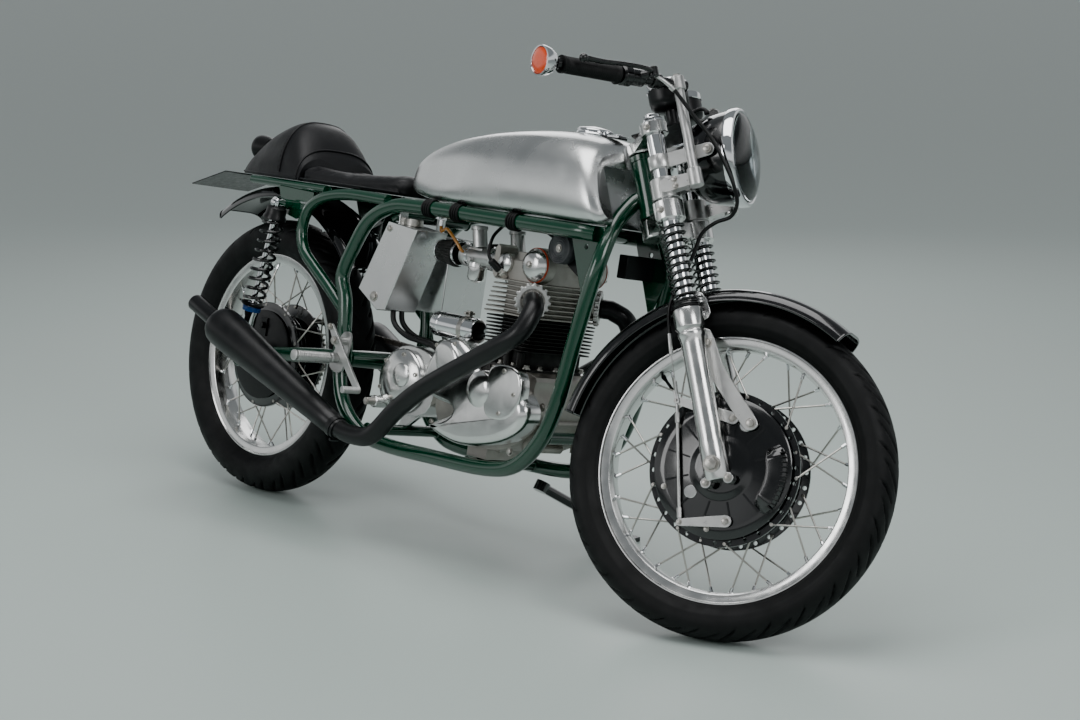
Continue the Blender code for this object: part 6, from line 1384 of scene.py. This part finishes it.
makePiece("brakePlate", plateParts, "blackEnamel", "steering", place=brakePlace, replaces=["brake_plate"],
    bevel=0.0008)
slots = []
for k in range(scoop["slots"]):
    angle = radians(scoop["from"] + 9 + (scoop["to"] - scoop["from"] - 18) * k / (scoop["slots"] - 1))
    turn = Matrix.Rotation(-angle, 4, "Y")
    slots.append(box((scoop["radius"] + 0.012, -0.0745, -0.0011), (scoop["radius"] + 0.0225, -0.0585, 0.0011), turn))
makePiece("scoopRibs", slots, "moulding", "steering", place=brakePlace, bevel=0.0005)
camParts, camBolts = [], []
for (x, z), (farX, farZ) in (((0.001, 0.095), (-0.115, 0.105)), ((0.035, -0.096), (-0.052, -0.118))):
    camParts.append(slab(link((x, z), (farX, farZ), 0.0115, 0.0068), -0.0605, -0.065))
    camParts.append(rod((x, -0.054, z), (x, -0.0655, z), 0.0082, 24))
    camBolts += [bolt((x, -0.0655, z), (0, -1, 0), 0.0058, 0.004), bolt((farX, -0.065, farZ), (0, -1, 0), 0.004,
        0.003)]
camParts.append(rod((-0.115, -0.0625, 0.105), (-0.052, -0.0625, -0.118), 0.0034, 16))
for share in (0.1, 0.88):
    at = Vector((-0.115, -0.0625, 0.105)).lerp(Vector((-0.052, -0.0625, -0.118)), share)
    camParts.append(rod(at, at + (Vector((-0.052, -0.0625, -0.118)) - at).normalized() * 0.02, 0.0052, 6))
makePiece("camLevers", camParts, "satinAlloy", "steering", place=brakePlace, bevel=0.0008)
makePiece("camBolts", camBolts + [bolt((x, -0.056, z), (0, -1, 0), 0.0042, 0.003) for x,
    z in ((0.0, 0.118), (-0.102, 0.059), (-0.102, -0.059), (0.0, -0.118))], "zincSteel", "steering",
    place=brakePlace)
makePiece("platePlugs", [rod((x, -0.0545, z), (x, -0.0585, z), 0.0125, 28, edge=0.001) for x,
    z in ((-0.048, -0.057), (0.027, 0.088))], "polishedAlloy", "steering", place=brakePlace)
torque = [(0.03, 0.262), (-0.006, 0.262), (-0.01, 0.225), (0.004, 0.196), (0.03, 0.13), (0.058, 0.064),
    (0.066, 0.056), (0.08, 0.056), (0.087, 0.07), (0.064, 0.128), (0.042, 0.19)]
makePiece("torqueArm", [slab(smoothOutline(torque, 3), -0.0672, -0.0612)], "satinAlloy", "steering", bevel=0.0012)
makePiece("torqueBolts", [bolt((x, -0.0672, z), (0, -1, 0), 0.0075, 0.005) for x,
    z in ((0.074, 0.068), (0.02, 0.238))] + [rod((0.074, -0.054, 0.068), (0.074, -0.0675, 0.068), 0.0065, 18)],
    "zincSteel", "steering")
print("brake made")

# Head lamp with chromed rim, clear glass, reflector and bulb
lampAt = Vector((0.131, 0, 0.6))
lampTurn = aimed(lampAt, lampAt + Vector((cos(radians(9)), 0, -sin(radians(9)))))
shellProfile = [(0, -0.105), (0.02, -0.1045), (0.044, -0.099), (0.064, -0.086), (0.078, -0.068), (0.088, -0.045),
    (0.0925, -0.02), (0.0945, 0.0), (0.0925, 0.0005), (0.07, 0.0005)]
lampParts = [lathe(shellProfile, lampTurn, 72)]
earParts = []
for name, side in sides:
    earParts.append(slab(link((0.0, 0.6), (0.0995, 0.6), 0.015, 0.013), side * 0.0985, side * 0.1025))
    lampParts.append(rod((0.0995, side * 0.078, 0.6), (0.0995, side * 0.1065, 0.6), 0.0084, 24))
    earParts.append(lathe([(0.0185, -0.014), (0.0218, -0.014), (0.0225, -0.013), (0.0225, 0.013), (0.0218, 0.014),
        (0.0185, 0.014)], shifted(0, side * 0.0935, 0.6), 40, True))
makePiece("headLampShell", lampParts, "blackEnamel", "steering", replaces=["head_lamp"], bevel=0.0006)
makePiece("headLampEars", earParts, "satinAlloy", "steering", bevel=0.0008)
makePiece("headLampRim", [lathe([(0.0945, -0.006), (0.0965, -0.005), (0.0975, 0.000), (0.0975, 0.01),
    (0.0955, 0.0145), (0.0915, 0.016), (0.0885, 0.015), (0.088, 0.012), (0.092, 0.01), (0.0935, 0.0)], lampTurn, 96,
    True)], "chrome", "steering")
makePiece("headLampReflector", [lathe([(0.09, 0.01), (0.08, 0.002), (0.064, -0.01), (0.044, -0.022), (0.022, -0.031),
    (0.012, -0.033), (0.012, -0.0345), (0.024, -0.0325), (0.045, -0.0235), (0.065, -0.0115), (0.081, 0.0005),
    (0.0915, 0.009)], lampTurn, 80, True)], "reflector", "steering")
makePiece("headLampBulb", [lathe([(0.0085, -0.036), (0.0085, -0.016), (0.0075, -0.01), (0.004, -0.0065), (0, -0.006)],
    lampTurn, 24)], "dialMark", "steering")
makePiece("headLampGlass", [lathe([(0.0895, 0.0105), (0.0885, 0.015), (0.08, 0.0215), (0.06, 0.0285), (0.03, 0.033),
    (0, 0.034), (0, 0.0315), (0.03, 0.0305), (0.059, 0.0262), (0.079, 0.019), (0.087, 0.012)], lampTurn, 96)],
    "clearGlass", "steering", angle=60)
makePiece("headLampBolts", [bolt((0.0995, side * 0.1065, 0.6), (0, side, 0), 0.0072, 0.005) for name, side in sides],
    "zincSteel", "steering")

# Two instruments with chromed bezels and plain dials
dialPlate = [box((-0.057, -0.058, 0.6823), (0.048, 0.058, 0.6863))]
cups, bezels, faces, marks, glasses = [], [], [], [], []
for name, side in sides:
    base = shifted(0.028, side * 0.046, 0)
    cups.append(lathe([(0.01, 0.715), (0.03, 0.7185), (0.0375, 0.726), (0.0392, 0.735), (0.0395, 0.764),
        (0.036, 0.765)], base, 48))
    cups.append(rod((0.028, side * 0.046, 0.685), (0.028, side * 0.046, 0.718), 0.012, 24))
    bezels.append(lathe([(0.0392, 0.757), (0.041, 0.758), (0.041, 0.769), (0.0398, 0.7715), (0.0365, 0.772),
        (0.0355, 0.769), (0.038, 0.7665)], base, 64, True))
    faces.append(lathe([(0.037, 0.764), (0.037, 0.7655), (0, 0.7655)], base, 48))
    for k in range(41):
        angle = radians(-135 + 270 * k / 40)
        long = 0.0055 if k % 5 == 0 else 0.003
        turn = base @ Matrix.Rotation(angle, 4, "Z")
        marks.append(box((0.0335 - long, -0.0004 if k % 5 else -0.0007, 0.7655),
            (0.0335, 0.0004 if k % 5 else 0.0007, 0.766), turn))
    turn = base @ Matrix.Rotation(radians(-128), 4, "Z")
    marks.append(box((-0.006, -0.0009, 0.7665), (0.028, 0.0009, 0.7672), turn))
    marks.append(rod(base @ Vector((0, 0, 0.7655)), base @ Vector((0, 0, 0.768)), 0.0032, 16))
    glasses.append(lathe([(0.0362, 0.7694), (0.0362, 0.7704), (0.02, 0.7718), (0, 0.7722), (0, 0.7712),
        (0.02, 0.7708), (0.0355, 0.7694)], base, 48))
makePiece("dialCups", dialPlate + cups, "moulding", "steering", replaces=["instruments"], bevel=0.0008)
makePiece("dialBezels", bezels, "chrome", "steering")
makePiece("dialFaces", faces, "dialFace", "steering")
makePiece("dialMarks", marks, "dialMark", "steering")
makePiece("dialGlasses", glasses, "clearGlass", "steering")
print("lamp and dials made")

# Bars: clamps, posts, grips, levers, plain collars and end lamps
for name, side in sides:
    start = Vector((0.07, side * 0.107, 0.738))
    tip = Vector((-0.037 - forkOffset, side * 0.36, 0.753))
    line = tip - start
    way = line.normalized()
    clampParts = [lathe([(0.0185, 0.5242), (0.026, 0.5242), (0.027, 0.5252), (0.027, 0.5648), (0.026, 0.5658),
        (0.0185, 0.5658)], shifted(0, side * 0.0935, 0), 48, True), slab(link((0.01, 0.545), (0.064, 0.545), 0.0135,
        0.012), side * 0.102, side * 0.124), rod((0.07, side * 0.118, 0.53), (0.07, side * 0.118, 0.75), 0.01, 32,
        edge=0.0015), rod((0.07, side * 0.118, 0.528), (0.07, side * 0.118, 0.564), 0.0145, 32, edge=0.0015),
        rod((0.07, side * 0.118, 0.724), (0.07, side * 0.118, 0.752), 0.014, 32, edge=0.0015)]
    makePiece("barPost" + name, clampParts, "satinAlloy", "steering", replaces=["handlebar_" + name.lower()],
        bevel=0.0012, cut=[rod(leg(side, 0.5), leg(side, 0.6), 0.0184, 32)])
    makePiece("barPostBolts" + name, [bolt((0.03, side * 0.124, z), (0, side, 0), 0.005, 0.004) for z in (0.538,
        0.552)] + [bolt((0.07, side * 0.118, 0.752), (0, 0, 1), 0.0075, 0.005)], "zincSteel", "steering")
    makePiece("bar" + name, [rod(start - way * 0.014, tip, 0.011, 32)], "springBlack", "steering")
    grip = [(0.015, 0), (0.0195, 0.0008), (0.02, 0.0035), (0.0175, 0.0065)]
    gripLength = line.length * 0.44
    count = 26
    for k in range(count):
        share = 0.01 + (gripLength - 0.02) * k / count
        grip += [(0.0163, share), (0.0163, share + 0.0026), (0.0155, share + 0.0034), (0.0155, share + 0.0042)]
    grip += [(0.0172, gripLength - 0.006), (0.0172, gripLength), (0.012, gripLength)]
    gripAt = start + line * 0.5
    makePiece("grip" + name, [lathe(grip, aimed(gripAt, tip), 40)], "gripRubber", "steering",
        angle=50)
    perch = start + line * 0.36
    ahead = Vector((0.046, 0, 0.0))
    perchParts = [rod(perch - way * 0.017, perch + way * 0.017, 0.0165, 32, edge=0.002),
        rod(perch, perch + ahead * 0.82 + Vector((0, 0, -0.002)), 0.009, 20, 0.0075),
        rod(perch + ahead * 0.8 + Vector((0, 0, -0.009)), perch + ahead * 0.8 + Vector((0, 0, 0.009)), 0.01, 24),
        rod(start + line * 0.44 - way * 0.012, start + line * 0.44 + way * 0.012, 0.02, 32, edge=0.004),
        rod(start + line * 0.2 - way * 0.011, start + line * 0.2 + way * 0.011, 0.015, 28, edge=0.002)]
    leverLine = curveThrough([perch + ahead * 0.8, perch + ahead * 1.02 + line * 0.1,
        perch + ahead * 1.06 + line * 0.26, perch + ahead * 0.92 + line * 0.42, perch + ahead * 0.95 + line * 0.57],
        8)
    radii = [0.0062 - 0.0018 * sin(pi * k / (len(leverLine) - 1)) for k in range(len(leverLine))]
    perchParts.append(tube(leverLine, radii, 16))
    ball = [(0.0085 * sin(pi * k / 12), -0.0085 * cos(pi * k / 12)) for k in range(13)]
    perchParts.append(lathe(ball, aimed(leverLine[-1], leverLine[-1] + way), 24))
    makePiece("lever" + name, perchParts, "springBlack", "steering", bevel=0.0006)
    lampPlace = aimed(tip - way * 0.002, tip + way)
    makePiece("endLamp" + name, [lathe([(0.0115, -0.004), (0.015, -0.002), (0.0215, 0.006), (0.0265, 0.016),
        (0.0285, 0.024), (0.029, 0.0285), (0.0285, 0.032), (0.026, 0.0325), (0.0248, 0.03), (0.0248, 0.024),
        (0.012, 0.016), (0.002, 0.015)], lampPlace, 56)], "chrome", "steering")
    makePiece("endLens" + name, [lathe([(0.0246, 0.026), (0.0246, 0.031), (0.0215, 0.0325), (0.013, 0.033),
        (0, 0.0332)], lampPlace, 48)], "amberLens", "steering")
print("bars made")

# Brake cable and instrument leads, which turn with the fork; the routes are the CAD nodes' own
brakeCable = {"sheath": 0.0038, "wire": 0.0011, "sheathEnd": 0.84, "route": ((0.033, -0.1931, 0.7426),
    (0.0487, -0.1686, 0.741), (0.069, -0.15, 0.715), (0.092, -0.138, 0.664), (0.115, -0.118, 0.612),
    (0.127, -0.102, 0.564), (0.133, -0.088, 0.522), (0.129, -0.07, 0.49), (0.108, -0.054, 0.472),
    (0.075, -0.048, 0.47), (0.044, -0.047, 0.456), (0.018, -0.046, 0.418), (-0.01, -0.047, 0.378),
    (-0.03, -0.056, 0.35), (-0.041, -0.073, 0.316), (-0.046, -0.08, 0.27), (-0.05, -0.079, 0.23),
    (-0.0545, -0.07, 0.185), (-0.0575, -0.0645, 0.15))}
brakeLine = curveThrough(brakeCable["route"], 8)
brakeCut = int(len(brakeLine) * brakeCable["sheathEnd"])
sleeveCut = 16
makePiece("brakeSheath", [tube(brakeLine[sleeveCut:brakeCut], brakeCable["sheath"], 16)], "cableBlack", "steering",
    replaces=["brake_cable"])
metalParts = [tube(brakeLine[:sleeveCut + 1], 0.004, 16), tube(brakeLine[brakeCut - 1:brakeCut + 8], 0.0042, 16),
    tube(brakeLine[brakeCut:], brakeCable["wire"], 8), tube(brakeLine[-8:], 0.0034, 12),
    rod(brakeLine[2], brakeLine[4], 0.0062, 6), rod(brakeLine[sleeveCut - 2], brakeLine[sleeveCut], 0.0052, 16)]
clevis = brakeLine[-1]
metalParts.append(box((clevis.x - 0.005, -0.068, 0.138), (clevis.x + 0.003, -0.0655, 0.164)))
makePiece("brakeFerrules", metalParts, "satinAlloy", "steering", bevel=0.0004)
dialRoute = ((0.053, 0.046, 0.7206), (0.0545, 0.0461, 0.711), (0.069, 0.0468, 0.701), (0.088, 0.0474, 0.702),
    (0.097, 0.0478, 0.696), (0.0985, 0.048, 0.6885))
for name, side in sides:
    leadLine = curveThrough([(x, side * y, z) for x, y, z in dialRoute], 8)
    makePiece("dialLead" + name, [tube(leadLine, 0.004, 16), tube(leadLine[:6], 0.0056, 16),
        tube(leadLine[-6:], 0.0054, 16)], "cableBlack", "steering",
        replaces=["dial_lead_" + name.lower()])
dressNode("regulator", "moulding", "chassis", 0.002)
print("cables made")
